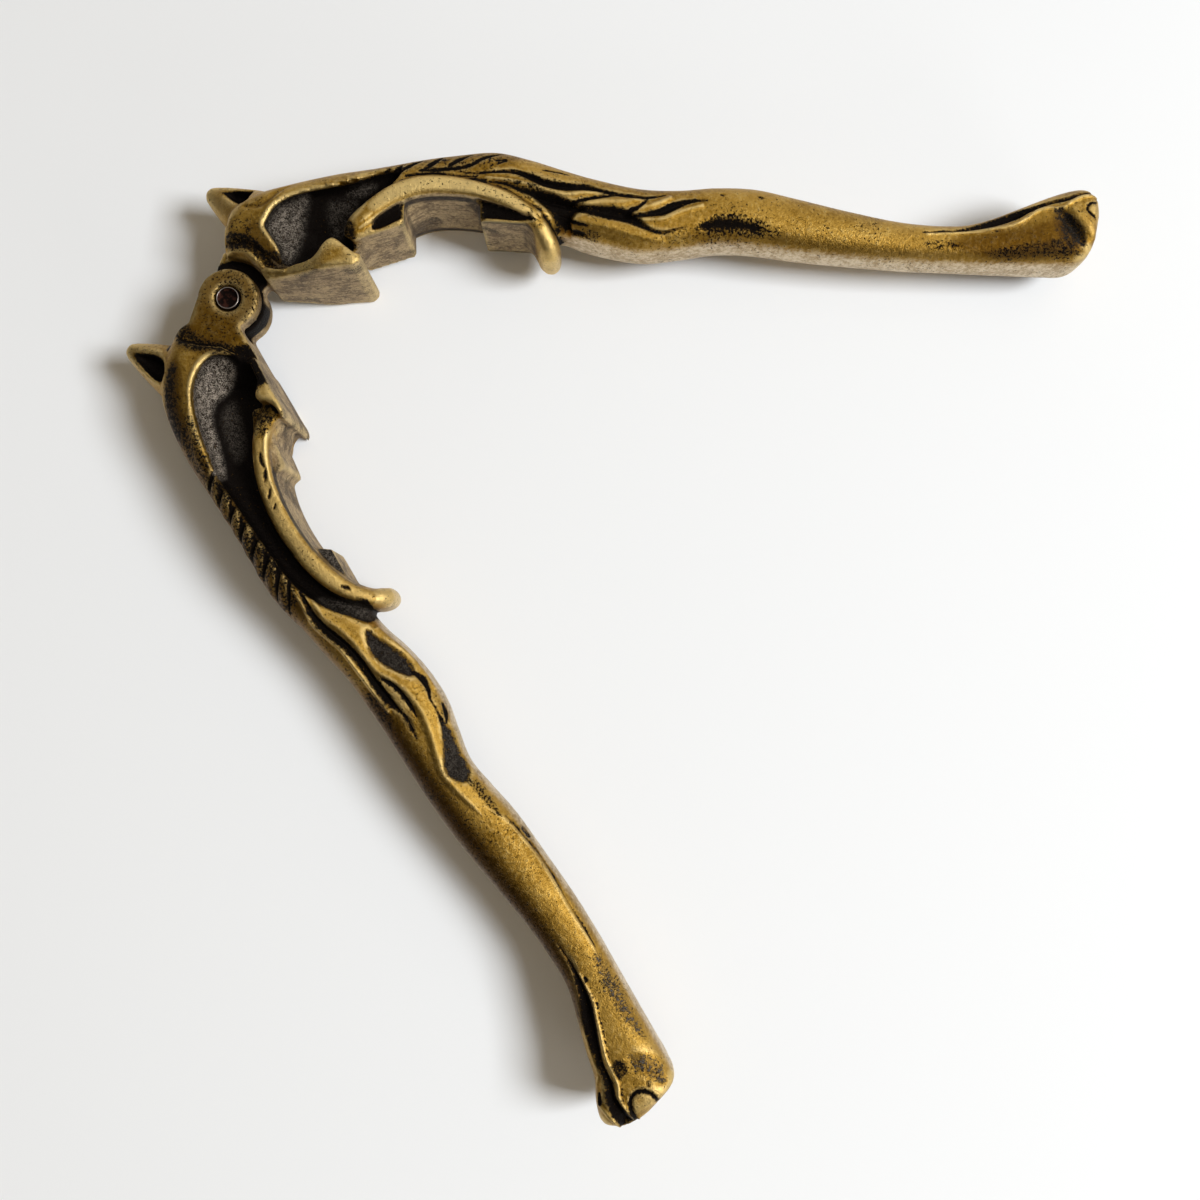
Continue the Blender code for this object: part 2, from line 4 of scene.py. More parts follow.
import bpy
import bmesh
import numpy as np
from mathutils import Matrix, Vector


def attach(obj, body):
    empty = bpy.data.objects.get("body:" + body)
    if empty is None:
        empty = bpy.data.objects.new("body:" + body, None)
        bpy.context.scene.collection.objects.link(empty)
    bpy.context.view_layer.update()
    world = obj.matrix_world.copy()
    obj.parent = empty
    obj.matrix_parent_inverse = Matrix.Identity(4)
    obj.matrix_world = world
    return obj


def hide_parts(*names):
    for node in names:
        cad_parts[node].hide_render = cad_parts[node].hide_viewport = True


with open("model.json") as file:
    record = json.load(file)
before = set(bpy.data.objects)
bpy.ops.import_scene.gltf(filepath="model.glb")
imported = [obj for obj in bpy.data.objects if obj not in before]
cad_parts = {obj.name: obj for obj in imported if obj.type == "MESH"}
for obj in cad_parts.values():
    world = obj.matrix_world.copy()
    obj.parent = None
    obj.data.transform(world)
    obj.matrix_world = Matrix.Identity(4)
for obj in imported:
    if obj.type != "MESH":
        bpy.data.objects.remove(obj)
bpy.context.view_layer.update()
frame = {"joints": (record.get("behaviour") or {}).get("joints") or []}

# Lever frames, in millimetres: x runs from the hinge to the foot, y points out of the jaws,
# and z is the hinge axis
mm = 0.001
pivot = np.array(frame["joints"][0]["pos_m"])
upperDirection = math.radians(2.0)
lowerDirection = math.radians(-60.0)

# Points along and round each shell, and how its mesh is evened out and refined
shells = {
    "bodyAlong": 620,
    "bodyRound": 168,
    "bandAlong": 300,
    "bandRound": 72,
    "blockAlong": 90,
    "blockRound": 120,
    "blockSquareness": 9.0,
    "earAlong": 90,
    "earRound": 96,
    "earSquareness": 2.2,
    "earTipFrom": 0.93,
    "voxel": 0.40,
    "triangleLimit": 192000,
    "trianglesPerCut": 6.4,
    "steepBelow": 0.25,
    "steepWaits": 9.0,
}


# Catmull-Rom formula: t of the way from start to end, with the rows before and after them
def catmullRom(before, start, end, after, t):
    return 0.5 * (
        2 * start + (end - before) * t
        + (2 * before - 5 * start + 4 * end - after) * t**2
        + (3 * start - before - 3 * end + after) * t**3)


# Open curve through rows of any width, evenly stepped between the rows
def curveThrough(rows, steps):
    rows = np.asarray(rows, float)
    last = len(rows) - 1
    place = np.linspace(0, last, steps + 1)
    i = np.minimum(place.astype(int), last - 1)
    before, after = rows[np.maximum(i - 1, 0)], rows[np.minimum(i + 2, last)]
    return catmullRom(before, rows[i], rows[i + 1], after, (place - i)[:, None])


# Closed curve through corner points
def outlineThrough(corners, stepsPerSide=6):
    corners = np.asarray(corners, float)
    place = np.arange(len(corners) * stepsPerSide) / stepsPerSide
    i = place.astype(int)
    around = [corners[(i + step) % len(corners)] for step in (-1, 0, 1, 2)]
    return catmullRom(*around, (place - i)[:, None])


# Straight-sided outline with its corners kept, stepped for an even skin
def sharpOutline(corners, stepsPerSide=10):
    corners = np.asarray(corners, float)
    t = (np.arange(stepsPerSide) / stepsPerSide)[None, :, None]
    ahead = np.roll(corners, -1, 0)
    return (corners[:, None] * (1 - t) + ahead[:, None] * t).reshape(-1, 2)


def roundOutline(radius, sides=96):
    angle = 2 * np.pi * np.arange(sides) / sides
    return radius * np.stack([np.cos(angle), np.sin(angle)], 1)


# Station table read at every x: cubic between the rows, with three-point slopes
def stationsAt(rows, x):
    rows = np.asarray(rows, float)
    stations = rows[:, 0]
    last = len(rows) - 1
    before = rows[np.maximum(np.arange(last + 1) - 1, 0)]
    after = rows[np.minimum(np.arange(last + 1) + 1, last)]
    slopes = (after - before) / (after[:, :1] - before[:, :1])
    i = np.clip(np.searchsorted(stations, x, "right") - 1, 0, last - 1)
    span = (stations[i + 1] - stations[i])[:, None]
    t = ((x - stations[i])[:, None]) / span
    return (
        (2 * t**3 - 3 * t**2 + 1) * rows[i] + (t**3 - 2 * t**2 + t) * slopes[i] * span
        + (3 * t**2 - 2 * t**3) * rows[i + 1] + (t**3 - t**2) * slopes[i + 1] * span)


# Superellipse by polar angle: |across|^p + |up|^p = 1, one row for each power
def superellipse(power, count):
    angle = 2 * np.pi * (np.arange(count) + 0.5) / count
    c, s = np.cos(angle), np.sin(angle)
    power = np.asarray(power, float).reshape(-1, 1)
    reach = (np.abs(c)**power + np.abs(s)**power) ** (-1 / power)
    return c * reach, s * reach


def smoothStep(low, high, value):
    t = np.clip((value - low) / (high - low), 0, 1)
    return t * t * (3 - 2 * t)


# Distance from points to a line of rows (x, y, extra...), and the extras read at the nearest place
def alongLine(xy, line):
    start, run = line[:-1, :2], line[1:, :2] - line[:-1, :2]
    offset = xy[:, None, :] - start
    t = np.clip((offset * run).sum(2) / np.maximum((run * run).sum(1), 1e-12), 0, 1)
    gap = offset - t[:, :, None] * run
    distance = np.sqrt((gap * gap).sum(2))
    nearest = distance.argmin(1)
    rows = np.arange(len(xy))
    share = t[rows, nearest][:, None]
    extras = line[nearest, 2:] * (1 - share) + line[nearest + 1, 2:] * share
    return distance[rows, nearest], extras


# Signed distance to a closed outline, positive inside: the crossing count gives the sign
def insideBy(xy, outline):
    a, b = outline, np.roll(outline, -1, 0)
    x, y = xy[:, :1], xy[:, 1:2]
    crosses = (a[:, 1] > y) != (b[:, 1] > y)
    rise = np.where(b[:, 1] == a[:, 1], 1e-9, b[:, 1] - a[:, 1])
    hits = crosses & (x < (b[:, 0] - a[:, 0]) * (y - a[:, 1]) / rise + a[:, 0])
    closed = np.vstack([outline, outline[:1]])
    distance, _ = alongLine(xy, closed)
    return np.where(hits.sum(1) % 2 == 1, distance, -distance)


# Which points lie in the box of some rows, widened by a reach
def boxed(xy, rows, reach):
    low, high = rows[:, :2].min(0) - reach, rows[:, :2].max(0) + reach
    return np.flatnonzero(((xy > low) & (xy < high)).all(1))


# The same for points scattered widely: those far from the outline's box are only said to be outside
def insideNear(xy, outline, margin=1.5):
    near = boxed(xy, outline, margin)
    inside = np.full(len(xy), -margin)
    inside[near] = insideBy(xy[near], outline)
    return inside


# Skin over a grid of rings: the ring closes on itself, and a pole point closes each end
def ringShell(name, rings):
    turns, count, _ = rings.shape
    vertices = np.vstack([rings.reshape(-1, 3), rings[0].mean(0), rings[-1].mean(0)])
    a = (np.arange(turns - 1)[:, None] * count + np.arange(count)).ravel()
    b = (np.arange(turns - 1)[:, None] * count + (np.arange(count) + 1) % count).ravel()
    quads = np.stack([a, b, b + count, a + count], 1)
    side, beside = np.arange(count), (np.arange(count) + 1) % count
    end = (turns - 1) * count
    firstFan = np.stack([beside, side, np.full(count, turns * count)], 1)
    lastFan = np.stack([end + side, end + beside, np.full(count, turns * count + 1)], 1)
    triangles = np.vstack([quads[:, :3], quads[:, [0, 2, 3]], firstFan, lastFan])
    p = vertices[triangles]
    volume = (p[:, 0] * np.cross(p[:, 1], p[:, 2])).sum()
    if volume < 0:
        quads, firstFan, lastFan = quads[:, ::-1], firstFan[:, ::-1], lastFan[:, ::-1]
    mesh = bpy.data.meshes.new(name)
    mesh.from_pydata(vertices.tolist(), [], quads.tolist() + firstFan.tolist() + lastFan.tolist())
    shell = bpy.data.objects.new(name, mesh)
    bpy.context.scene.collection.objects.link(shell)
    return shell


# Upright solid over a plan outline: the ring is carried up z and drawn in by an eased edge at both ends
def prism(name, outline, low, high, ease=0.35, easeSteps=4):
    ahead, behind = np.roll(outline, -1, 0), np.roll(outline, 1, 0)
    run = ahead - behind
    run = run / np.maximum(np.linalg.norm(run, axis=1, keepdims=True), 1e-9)
    turning = np.sign((outline[:, 0] * ahead[:, 1] - ahead[:, 0] * outline[:, 1]).sum())
    inward = turning * np.stack([-run[:, 1], run[:, 0]], 1)
    bend = np.linspace(0, np.pi / 2, easeSteps + 1)
    heights = np.concatenate([low + ease - ease * np.sin(bend[::-1]), high - ease + ease * np.sin(bend)])
    insets = np.concatenate([ease * (1 - np.cos(bend[::-1])), ease * (1 - np.cos(bend))])
    rings = np.zeros((len(heights), len(outline), 3))
    rings[:, :, :2] = outline + insets[:, None, None] * inward
    rings[:, :, 2] = heights[:, None]
    return ringShell(name, rings)


# Superellipse sections square to a centreline in plan
def ringsAlong(centre, run, halfWidth, halfHeight, power, sides):
    across, up = superellipse(power, sides)
    across = across * halfWidth
    rings = np.zeros((len(centre), sides, 3))
    rings[:, :, 0] = centre[:, :1] - run[:, 1:] * across
    rings[:, :, 1] = centre[:, 1:] + run[:, :1] * across
    rings[:, :, 2] = up * halfHeight
    return rings


# The same square to x, from stations of x, inner edge, outer edge, half height and squareness
def stationRings(stations, along, sides, squareness=None):
    x = np.linspace(stations[0][0], stations[-1][0], along)
    _, inner, outer, half, *power = stationsAt(stations, x).T
    power = np.full(along, squareness) if squareness else power[0]
    centre = np.stack([x, (outer + inner) / 2], 1)
    ahead = np.array([[1.0, 0.0]])
    return ringsAlong(centre, ahead, ((outer - inner) / 2)[:, None], half[:, None], power, sides)


# Long casting, lowered inside each recess outline
def bodyShell(name, lever):
    rings = stationRings(lever["body"], shells["bodyAlong"], shells["bodyRound"])
    flat = rings.reshape(-1, 3)
    recess = lever["recess"]
    depth = insideNear(flat[:, :2], outlineThrough(recess["outline"]))
    near = np.flatnonzero(depth > -1.0)
    fromRim, _ = alongLine(flat[near, :2], curveThrough(recess["rim"], 40))
    floor = np.maximum(recess["floor"], recess["rimFloor"] - recess["slope"] * fromRim)
    share = smoothStep(-0.1, recess["wall"], depth[near])
    tall = np.abs(flat[near, 2])
    flat[near, 2] = np.sign(flat[near, 2]) * (tall * (1 - share) + np.minimum(tall, floor) * share)
    sinkInto(flat, lever["ear"]["hollow"], lever["ear"]["headFloor"])
    return ringShell(name, rings)


# Lowers both faces inside an outline towards a height above the middle plane
def sinkInto(points, corners, floor):
    dip = smoothStep(-0.05, 0.8, insideNear(points[:, :2], outlineThrough(corners)))
    tall = np.abs(points[:, 2])
    points[:, 2] = np.sign(points[:, 2]) * (tall - dip * np.maximum(tall - floor, 0))


# Raised band: superellipse sections square to its centreline, which ends in the curled tip
def bandShell(name, band):
    path = curveThrough(band["path"], shells["bandAlong"])
    run = np.gradient(path[:, :2], axis=0)
    run /= np.linalg.norm(run, axis=1, keepdims=True)
    halfWidth, halfHeight = path[:, 2:3] / 2, band["halfThickness"] * path[:, 3:4]
    return ringShell(name, ringsAlong(
        path[:, :2], run, halfWidth, halfHeight, path[:, 4], shells["bandRound"]))


# Wedge beside the hinge: squarish sections that grow thicker towards the nut hollow
def blockShell(name, block):
    return ringShell(name, stationRings(
        block, shells["blockAlong"], shells["blockRound"], shells["blockSquareness"]))


# Pointed ear: elliptic sections shrink from the head to the tip
def earShell(name, ear):
    along, tipFrom = shells["earAlong"], shells["earTipFrom"]
    share = np.linspace(0, 1, along)[:, None]
    base, tip = np.array(ear["base"]), np.array(ear["tip"])
    run = (tip - base) / np.linalg.norm(tip - base)
    centre = base * (1 - share) + tip * share
    rounding = np.sqrt(np.clip(1 - (np.maximum(share - tipFrom, 0) / (1 - tipFrom))**2, 0.001, 1))
    halfWidth = (ear["width"] / 2 * (1 - share)**ear["fullness"] + ear["tipRadius"] * share) * rounding
    halfHeight = (ear["halfThickness"] * (1 - share) + ear["tipRadius"] * share) * rounding
    power = np.full(along, shells["earSquareness"])
    rings = ringsAlong(centre, run[None], halfWidth, halfHeight, power, shells["earRound"])
    sinkInto(rings.reshape(-1, 3), ear["hollow"], ear["earFloor"])
    return ringShell(name, rings)


def combine(target, operation, tools):
    for tool in tools:
        step = target.modifiers.new(tool.name, "BOOLEAN")
        step.operation = operation
        step.solver = "MANIFOLD"
        step.object = tool


# The mesh as its modifiers leave it; the shapes that made it are then removed
def settled(target, tools=()):
    graph = bpy.context.evaluated_depsgraph_get()
    mesh = bpy.data.meshes.new_from_object(target.evaluated_get(graph))
    target.modifiers.clear()
    target.data = mesh
    for tool in tools:
        bpy.data.objects.remove(tool, do_unlink=True)


def remesh(target, size):
    step = target.modifiers.new("even", "REMESH")
    step.mode = "VOXEL"
    step.voxel_size = size
    step.use_smooth_shade = True


# Mean of each vertex's neighbours, repeated
def averaged(values, edges, rounds, keep=0.5):
    count = len(values)
    both = np.concatenate([edges[:, 0], edges[:, 1]])
    other = np.concatenate([edges[:, 1], edges[:, 0]])
    degree = np.maximum(np.bincount(both, minlength=count), 1)
    values = values.reshape(count, -1)
    for _ in range(rounds):
        sums = [np.bincount(both, column[other], count) for column in values.T]
        values = keep * values + (1 - keep) * np.stack(sums, 1) / degree[:, None]
    return values


def readMesh(mesh):
    points = np.zeros(len(mesh.vertices) * 3, np.float32)
    mesh.vertices.foreach_get("co", points)
    normals = np.zeros(len(mesh.vertices) * 3, np.float32)
    mesh.vertex_normals.foreach_get("vector", normals)
    edges = np.zeros(len(mesh.edges) * 2, np.int32)
    mesh.edges.foreach_get("vertices", edges)
    return points.reshape(-1, 3).astype(float), normals.reshape(-1, 3).astype(float), edges.reshape(-1, 2)


def writePoints(mesh, points):
    mesh.vertices.foreach_set("co", np.ascontiguousarray(points, np.float32).ravel())
    mesh.update()


# Raised or cut lines on both faces: height = depth * width share * (1 - (distance / half width)^2)^2
def lineRelief(xy, lines):
    height, mark, shine = np.zeros((3, len(xy)))
    for line in lines:
        rows = curveThrough(line["path"], 7 * (len(line["path"]) - 1))
        near = boxed(xy, rows, rows[:, 2].max() + 0.2)
        if not len(near):
            continue
        distance, width = alongLine(xy[near], rows)
        width = np.maximum(width[:, 0], 0.05)
        share = np.clip(width / rows[:, 2].max(), 0, 1)
        t = distance / (width / 2 * (1.2 if line["rise"] < 0 else 1.3))
        height[near] += line["rise"] * share * np.clip(1 - t * t, 0, 1)**2
        # Shine is a painted highlight along the line
        if "shine" in line:
            shine[near] = np.maximum(shine[near], line["shine"] * share * smoothStep(1.0, 0.3, t))
        if line["rise"] < 0:
            ink = line.get("dark", 1.0) * np.sqrt(share) * smoothStep(1.15, 0.55, t)
            mark[near] = np.maximum(mark[near], ink)
    return height, mark, shine


# Share of a colour or form over the patches that carry it, soft over each edge and only up to each top
def patchShare(xy, tall, patches, key):
    share = np.zeros(len(xy))
    for patch in patches:
        if key not in patch:
            continue
        corners, soft = np.array(patch["outline"]), patch["soft"]
        near = boxed(xy, corners, soft + 0.3)
        inside = insideBy(xy[near], outlineThrough(corners, 5))
        below = smoothStep(0.5, 0.25, tall[near] - patch.get("top", 12.0))
        share[near] = np.maximum(share[near], patch[key] * smoothStep(-soft, soft, inside) * below)
    return share


# Line on both faces: its height, rows of x, y and width, and its darkness or shine, the shine being a painted
# highlight
def stroke(rise, *path, **marks):
    return {"path": path, "rise": rise, **marks}


# Patch of the surface: how soft its edge is, its corners, and what it carries
def area(soft, *outline, **marks):
    return {"outline": outline, "soft": soft, **marks}


knuckle = {
    "lugRadius": 4.85,
    "tongueRadius": 5.15,
    "tongueHalf": 1.65,
    "slotHalf": 1.95,
    "slotRadius": 6.35,
    "lugTop": 4.55,
    "boreRadius": 1.75,
    "recessRadius": 2.15,
    "recessFloor": 3.7,
    "seatRadius": 6.7,
    "tongueNeckStep": 0.05,
    "lugNeckStep": 0.06,
    "cutReach": 12.0,
    "boreSides": 48,
}

upperLever = {
    "body": (
        (-0.5, 7.0, 12.2, 4.3, 3.2), (0.9, 6.5, 15.0, 5.5, 3.4), (4.0, 4.8, 17.1, 6.1, 3.6),
        (9.0, 4.4, 18.5, 6.7, 3.4), (17.5, 5.0, 20.2, 7.0, 3.2), (24.0, 9.4, 20.9, 7.0, 3.0),
        (31.4, 14.0, 21.9, 6.8, 2.8), (37.0, 14.2, 22.7, 6.6, 2.6), (43.0, 12.0, 23.2, 6.4, 2.6),
        (48.4, 9.9, 21.8, 6.1, 2.8), (53.5, 9.0, 20.0, 5.8, 2.8), (58.1, 7.3, 18.5, 5.6, 2.8),
        (65.6, 5.6, 16.6, 5.3, 2.8), (71.8, 5.9, 16.1, 5.1, 2.8), (78.0, 6.5, 16.4, 5.0, 2.6),
        (84.3, 6.0, 16.0, 4.9, 2.5), (90.4, 4.9, 14.4, 4.7, 2.5), (99.8, 3.6, 11.7, 4.4, 2.5),
        (108.5, 2.6, 9.6, 4.2, 2.5), (116.8, 2.0, 8.8, 4.2, 2.6), (121.5, 1.7, 9.5, 4.5, 2.8),
        (126.5, 1.4, 11.1, 5.0, 3.0), (131.4, 1.2, 12.7, 5.6, 3.2), (135.2, 1.3, 13.6, 5.9, 3.2),
        (137.3, 3.2, 13.5, 5.7, 3.0), (138.5, 7.2, 12.3, 4.6, 2.6),
    ),
    "recess": {
        "outline": ((9.4, 3.0), (8.7, 5.2), (8.2, 7.0), (7.0, 9.0), (6.0, 10.9), (6.7, 12.7), (8.0, 14.4),
                    (10.1, 15.7), (13.0, 16.5), (17.0, 17.1), (21.0, 17.9), (25.0, 19.1), (28.4, 19.2),
                    (27.0, 17.0), (25.0, 15.0), (23.0, 12.5), (21.0, 9.5), (20.0, 7.0), (17.0, 4.0),
                    (12.0, 2.0)),
        "rim": ((9.4, 3.0), (8.2, 7.0), (6.0, 10.9), (8.0, 14.4), (13.0, 16.5), (21.0, 17.9), (28.4, 19.2)),
        "wall": 0.75, "floor": 2.3, "rimFloor": 4.9, "slope": 0.42},
    "band": {
        "path": (
            (19.5, 8.4, 2.2, 0.84, 3.0), (20.7, 10.1, 3.3, 0.98, 4.0), (23.4, 12.4, 3.5, 1.0, 5.0),
            (27.0, 14.7, 3.7, 1.0, 5.4), (31.0, 15.95, 3.7, 1.0, 5.4), (35.5, 15.95, 3.6, 0.98, 5.2),
            (40.5, 15.0, 3.4, 0.96, 4.8), (45.3, 13.1, 3.4, 0.92, 4.2), (48.8, 10.5, 3.5, 0.84, 3.4),
            (50.5, 7.8, 3.9, 0.72, 2.8), (51.0, 6.0, 3.7, 0.60, 2.5), (51.1, 4.9, 2.6, 0.42, 2.3),
            (51.1, 4.55, 1.4, 0.25, 2.2), (51.1, 4.4, 0.4, 0.08, 2.2)),
        "halfThickness": 8.1},
    "block": (
        (5.4, 2.4, 4.2, 5.3), (9.0, 2.4, 4.0, 6.3), (12.0, 2.45, 4.3, 7.5), (14.2, 2.5, 4.8, 8.4),
        (15.2, 2.55, 5.8, 8.7), (16.0, 2.6, 7.0, 8.85), (17.5, 2.7, 7.9, 8.97), (19.4, 2.85, 6.5, 8.97),
        (20.8, 3.0, 5.3, 8.97), (21.8, 3.7, 5.1, 8.5)),
    "steps": (
        ((20.5, 7.8), (28.4, 10.1), (28.4, 14.2), (24.0, 13.2), (20.5, 10.6)),
        ((40.4, 10.4), (48.9, 9.6), (50.2, 11.4), (46.6, 14.0), (40.4, 15.4))),
    "stepTops": (7.1, 6.6),
    "jawZone": ((4.0, 0.0), (4.0, 5.8), (14.0, 5.4), (20.5, 7.6), (26.0, 12.4), (31.0, 15.4), (36.0, 15.6),
                (41.0, 14.4), (46.0, 12.2), (48.8, 10.2), (48.8, 0.0)),
    "ear": {"base": (3.4, 14.4), "tip": (-4.5, 19.3), "width": 9.6, "tipRadius": 0.7, "halfThickness": 5.2,
            "fullness": 0.8, "headFloor": 1.8, "earFloor": 1.1,
            "hollow": ((-1.5, 18.5), (3.6, 18.2), (3.7, 17.0), (2.9, 15.4), (1.6, 15.5), (0.2, 16.5),
                       (-1.0, 17.7))},
    "neck": ((-3.8, 2.6), (-1.7, 8.4), (1.0, 10.4), (9.0, 8.6), (8.6, 5.4), (4.6, 2.2)),
    "lines": [
        # Rim of the scooped cheek with a painted highlight along it, ridge round the seat with a fainter
        # painted highlight, groove round the seat, and a dent below the ear
        stroke(0.25, (9.3, 4.0, 0.6), (8.9, 6.0, 1.0), (8.4, 7.4, 1.1), (7.1, 9.3, 1.1), (6.1, 10.9, 1.1),
               (6.8, 12.6, 1.1), (8.1, 14.2, 1.1), (10.2, 15.5, 1.0), (13.4, 16.4, 0.9), (18.0, 17.1, 0.6),
               shine=0.9),
        stroke(0.4, (-0.9, 7.0, 0.7), (1.0, 7.5, 1.0), (2.9, 7.2, 1.1), (4.2, 6.3, 1.1), (5.4, 5.0, 1.1),
               (6.8, 3.9, 1.0), (9.5, 3.3, 0.5), shine=0.45),
        stroke(-0.35, (-0.6, 8.4, 0.6), (2.2, 8.6, 1.0), (4.4, 7.8, 1.1), (6.2, 6.1, 1.1), (7.6, 4.8, 0.9),
               dark=0.62),
        stroke(-0.35, (3.0, 14.4, 0.5), (4.6, 14.3, 1.2), (6.4, 14.9, 1.5), (8.6, 16.6, 1.0),
               (10.4, 17.4, 0.4), dark=0.22),
        # Painted highlight along the edge of the band beside the jaws
        stroke(0.12, (21.6, 9.4, 0.3), (24.4, 11.2, 0.6), (27.6, 13.0, 0.7), (31.0, 14.3, 0.5),
               (35.0, 14.4, 0.3), shine=0.9),
        # Cuts across the back
        stroke(-0.45, (24.2, 17.2, 0.9), (25.2, 18.2, 1.0), (26.2, 19.4, 0.5)),
        stroke(-0.5, (26.4, 17.5, 1.2), (27.3, 18.6, 1.3), (28.2, 20.0, 0.4)),
        stroke(-0.35, (28.2, 18.8, 0.4), (29.6, 19.8, 0.7), (31.4, 20.7, 0.3)),
        stroke(-0.4, (32.0, 19.1, 0.5), (33.0, 19.8, 0.8), (33.9, 20.6, 0.7), (34.6, 21.2, 0.3)),
        stroke(-0.3, (31.0, 18.7, 0.3), (34.0, 18.8, 0.5), (36.5, 18.9, 0.5), (38.5, 19.3, 0.6),
               (40.3, 19.9, 0.3)),
        stroke(-0.4, (35.7, 19.4, 0.5), (37.1, 20.4, 0.8), (39.0, 21.5, 0.3)),
        stroke(-0.35, (39.4, 19.8, 0.4), (41.4, 20.9, 0.65), (43.9, 21.8, 0.25)),
        stroke(-0.2, (43.4, 19.7, 0.25), (44.8, 20.3, 0.3)),
        # Strands of hair, cut and raised
        stroke(-0.3, (29.0, 17.95, 0.5), (33.0, 18.2, 0.5), (37.5, 17.7, 0.35), (40.0, 17.6, 0.3),
               dark=0.7),
        stroke(-0.75, (36.5, 18.6, 0.2), (39.5, 18.1, 0.35), (43.0, 18.3, 0.5), (46.0, 18.3, 0.8),
               (48.5, 17.4, 1.1), (51.0, 16.3, 1.3), (54.0, 15.8, 1.3), (57.0, 15.7, 1.1),
               (59.5, 15.1, 0.8), (62.0, 14.5, 0.7), (65.0, 14.0, 0.7), (67.5, 13.9, 0.5),
               (69.8, 14.3, 0.2)),
        stroke(-0.8, (42.0, 16.7, 0.3), (44.5, 16.3, 0.5), (46.5, 15.5, 0.7), (48.5, 14.8, 1.1),
               (51.0, 14.0, 1.6), (53.5, 13.2, 1.4), (55.0, 13.0, 0.8)),
        stroke(0.35, (41.5, 17.4, 0.5), (45.0, 16.9, 0.8), (48.0, 16.2, 0.9), (51.0, 15.2, 1.0),
               (54.0, 14.5, 0.9), (57.0, 14.7, 0.8), (60.0, 14.6, 0.5)),
        stroke(-0.45, (54.6, 13.1, 0.5), (57.0, 13.6, 0.5), (59.5, 14.0, 0.45), (62.0, 14.4, 0.4)),
        stroke(-0.85, (54.0, 12.7, 1.0), (57.0, 12.0, 1.3), (60.0, 11.5, 1.9), (63.0, 10.9, 2.1),
               (65.0, 9.8, 1.4), (67.0, 8.6, 0.7), (69.0, 8.1, 0.6), (71.0, 8.5, 0.4), (72.8, 9.0, 0.2)),
        stroke(-0.5, (66.8, 13.5, 0.4), (65.6, 12.4, 0.6), (64.0, 11.6, 0.8), (63.0, 11.0, 0.9)),
        stroke(-0.7, (63.5, 10.7, 0.7), (66.5, 11.0, 0.8), (69.0, 11.4, 1.2), (70.6, 12.1, 1.4),
               (72.6, 12.8, 1.0), (74.5, 13.1, 0.6), (76.4, 13.1, 0.25)),
        stroke(0.3, (57.0, 13.0, 0.9), (60.0, 13.2, 1.3), (63.0, 13.2, 1.3), (65.6, 13.5, 0.7)),
        stroke(0.3, (65.0, 12.0, 0.8), (68.0, 12.6, 1.1), (70.5, 13.7, 1.0)),
        stroke(0.25, (65.8, 10.2, 0.6), (69.0, 10.2, 1.0), (72.0, 11.3, 1.1), (75.5, 12.2, 0.9)),
        stroke(0.3, (55.0, 10.4, 0.8), (60.0, 9.3, 1.6), (65.0, 7.7, 1.7), (69.0, 6.8, 1.2)),
        stroke(-0.12, (66.0, 5.3, 0.2), (68.0, 5.6, 0.3), (71.0, 5.9, 0.2)),
        # Cleft of the foot and its rims
        stroke(-1.0, (110.5, 7.1, 0.3), (116.0, 7.1, 0.6), (119.5, 7.7, 1.1), (122.5, 8.4, 1.5),
               (125.3, 9.2, 1.5), (127.6, 10.0, 0.9), (130.5, 10.8, 0.7), (133.0, 11.2, 0.8),
               (135.5, 12.0, 0.5), (138.2, 12.3, 0.4)),
        stroke(0.3, (111.0, 6.7, 0.4), (118.0, 6.7, 0.6), (122.0, 7.0, 0.7), (125.0, 7.5, 0.7),
               (127.0, 8.5, 0.7), (128.7, 9.5, 0.7), (130.4, 9.8, 0.7), (132.4, 9.7, 0.7),
               (134.2, 10.7, 0.7), (136.0, 11.4, 0.7), (138.0, 11.3, 0.5)),
        # Toenail
        stroke(-0.22, (137.8, 10.4, 0.3), (136.7, 10.1, 0.35), (136.1, 9.3, 0.35), (136.4, 8.6, 0.35),
               (137.3, 7.8, 0.3)),
        # Folds across the toes
        stroke(0.3, (133.6, 10.2, 1.2), (134.6, 8.6, 2.2), (136.0, 6.6, 2.3), (137.0, 4.8, 1.2)),
        stroke(-0.6, (132.0, 9.3, 1.0), (132.9, 7.6, 2.0), (134.2, 5.6, 2.2), (135.2, 3.9, 1.2),
               dark=0.75),
        # Painted highlights on the tips of the toes
        stroke(0.05, (135.4, 3.4, 1.2), (136.6, 3.0, 1.6), (137.4, 3.2, 1.0), shine=0.8),
        stroke(0.02, (134.4, 1.9, 1.0), (135.6, 1.8, 1.8), (136.6, 2.2, 1.2), shine=0.8),
        # Painted highlight along the crown of the band
        stroke(0.02, (24.0, 12.8, 2.0), (27.0, 14.7, 2.6), (31.0, 15.95, 2.6), (35.5, 15.95, 2.6),
               (40.5, 15.0, 2.4), (45.3, 13.1, 2.2), (48.6, 10.6, 1.8), shine=0.8),
        # Nicks
        stroke(-0.15, (78.6, 14.1, 0.3), (79.0, 13.9, 0.35), dark=0.8),
        stroke(-0.15, (84.7, 13.5, 0.4), (85.2, 13.3, 0.4), dark=0.7),
        stroke(-0.2, (43.3, 20.3, 0.3), (44.6, 20.5, 0.4)),
        stroke(-0.2, (50.4, 18.7, 0.2), (52.6, 18.4, 0.3), (54.4, 18.0, 0.15)),
        stroke(-0.25, (52.9, 10.9, 0.3), (54.8, 10.3, 0.5), (57.2, 9.6, 0.3)),
        stroke(-0.25, (53.8, 9.3, 0.4), (55.6, 8.9, 0.6), (57.0, 8.4, 0.3)),
    ],
    "patches": [
        # Hollows
        area(1.3, (131.0, 9.4), (132.8, 9.1), (133.9, 7.6), (135.3, 5.4), (135.9, 4.0), (134.5, 3.0),
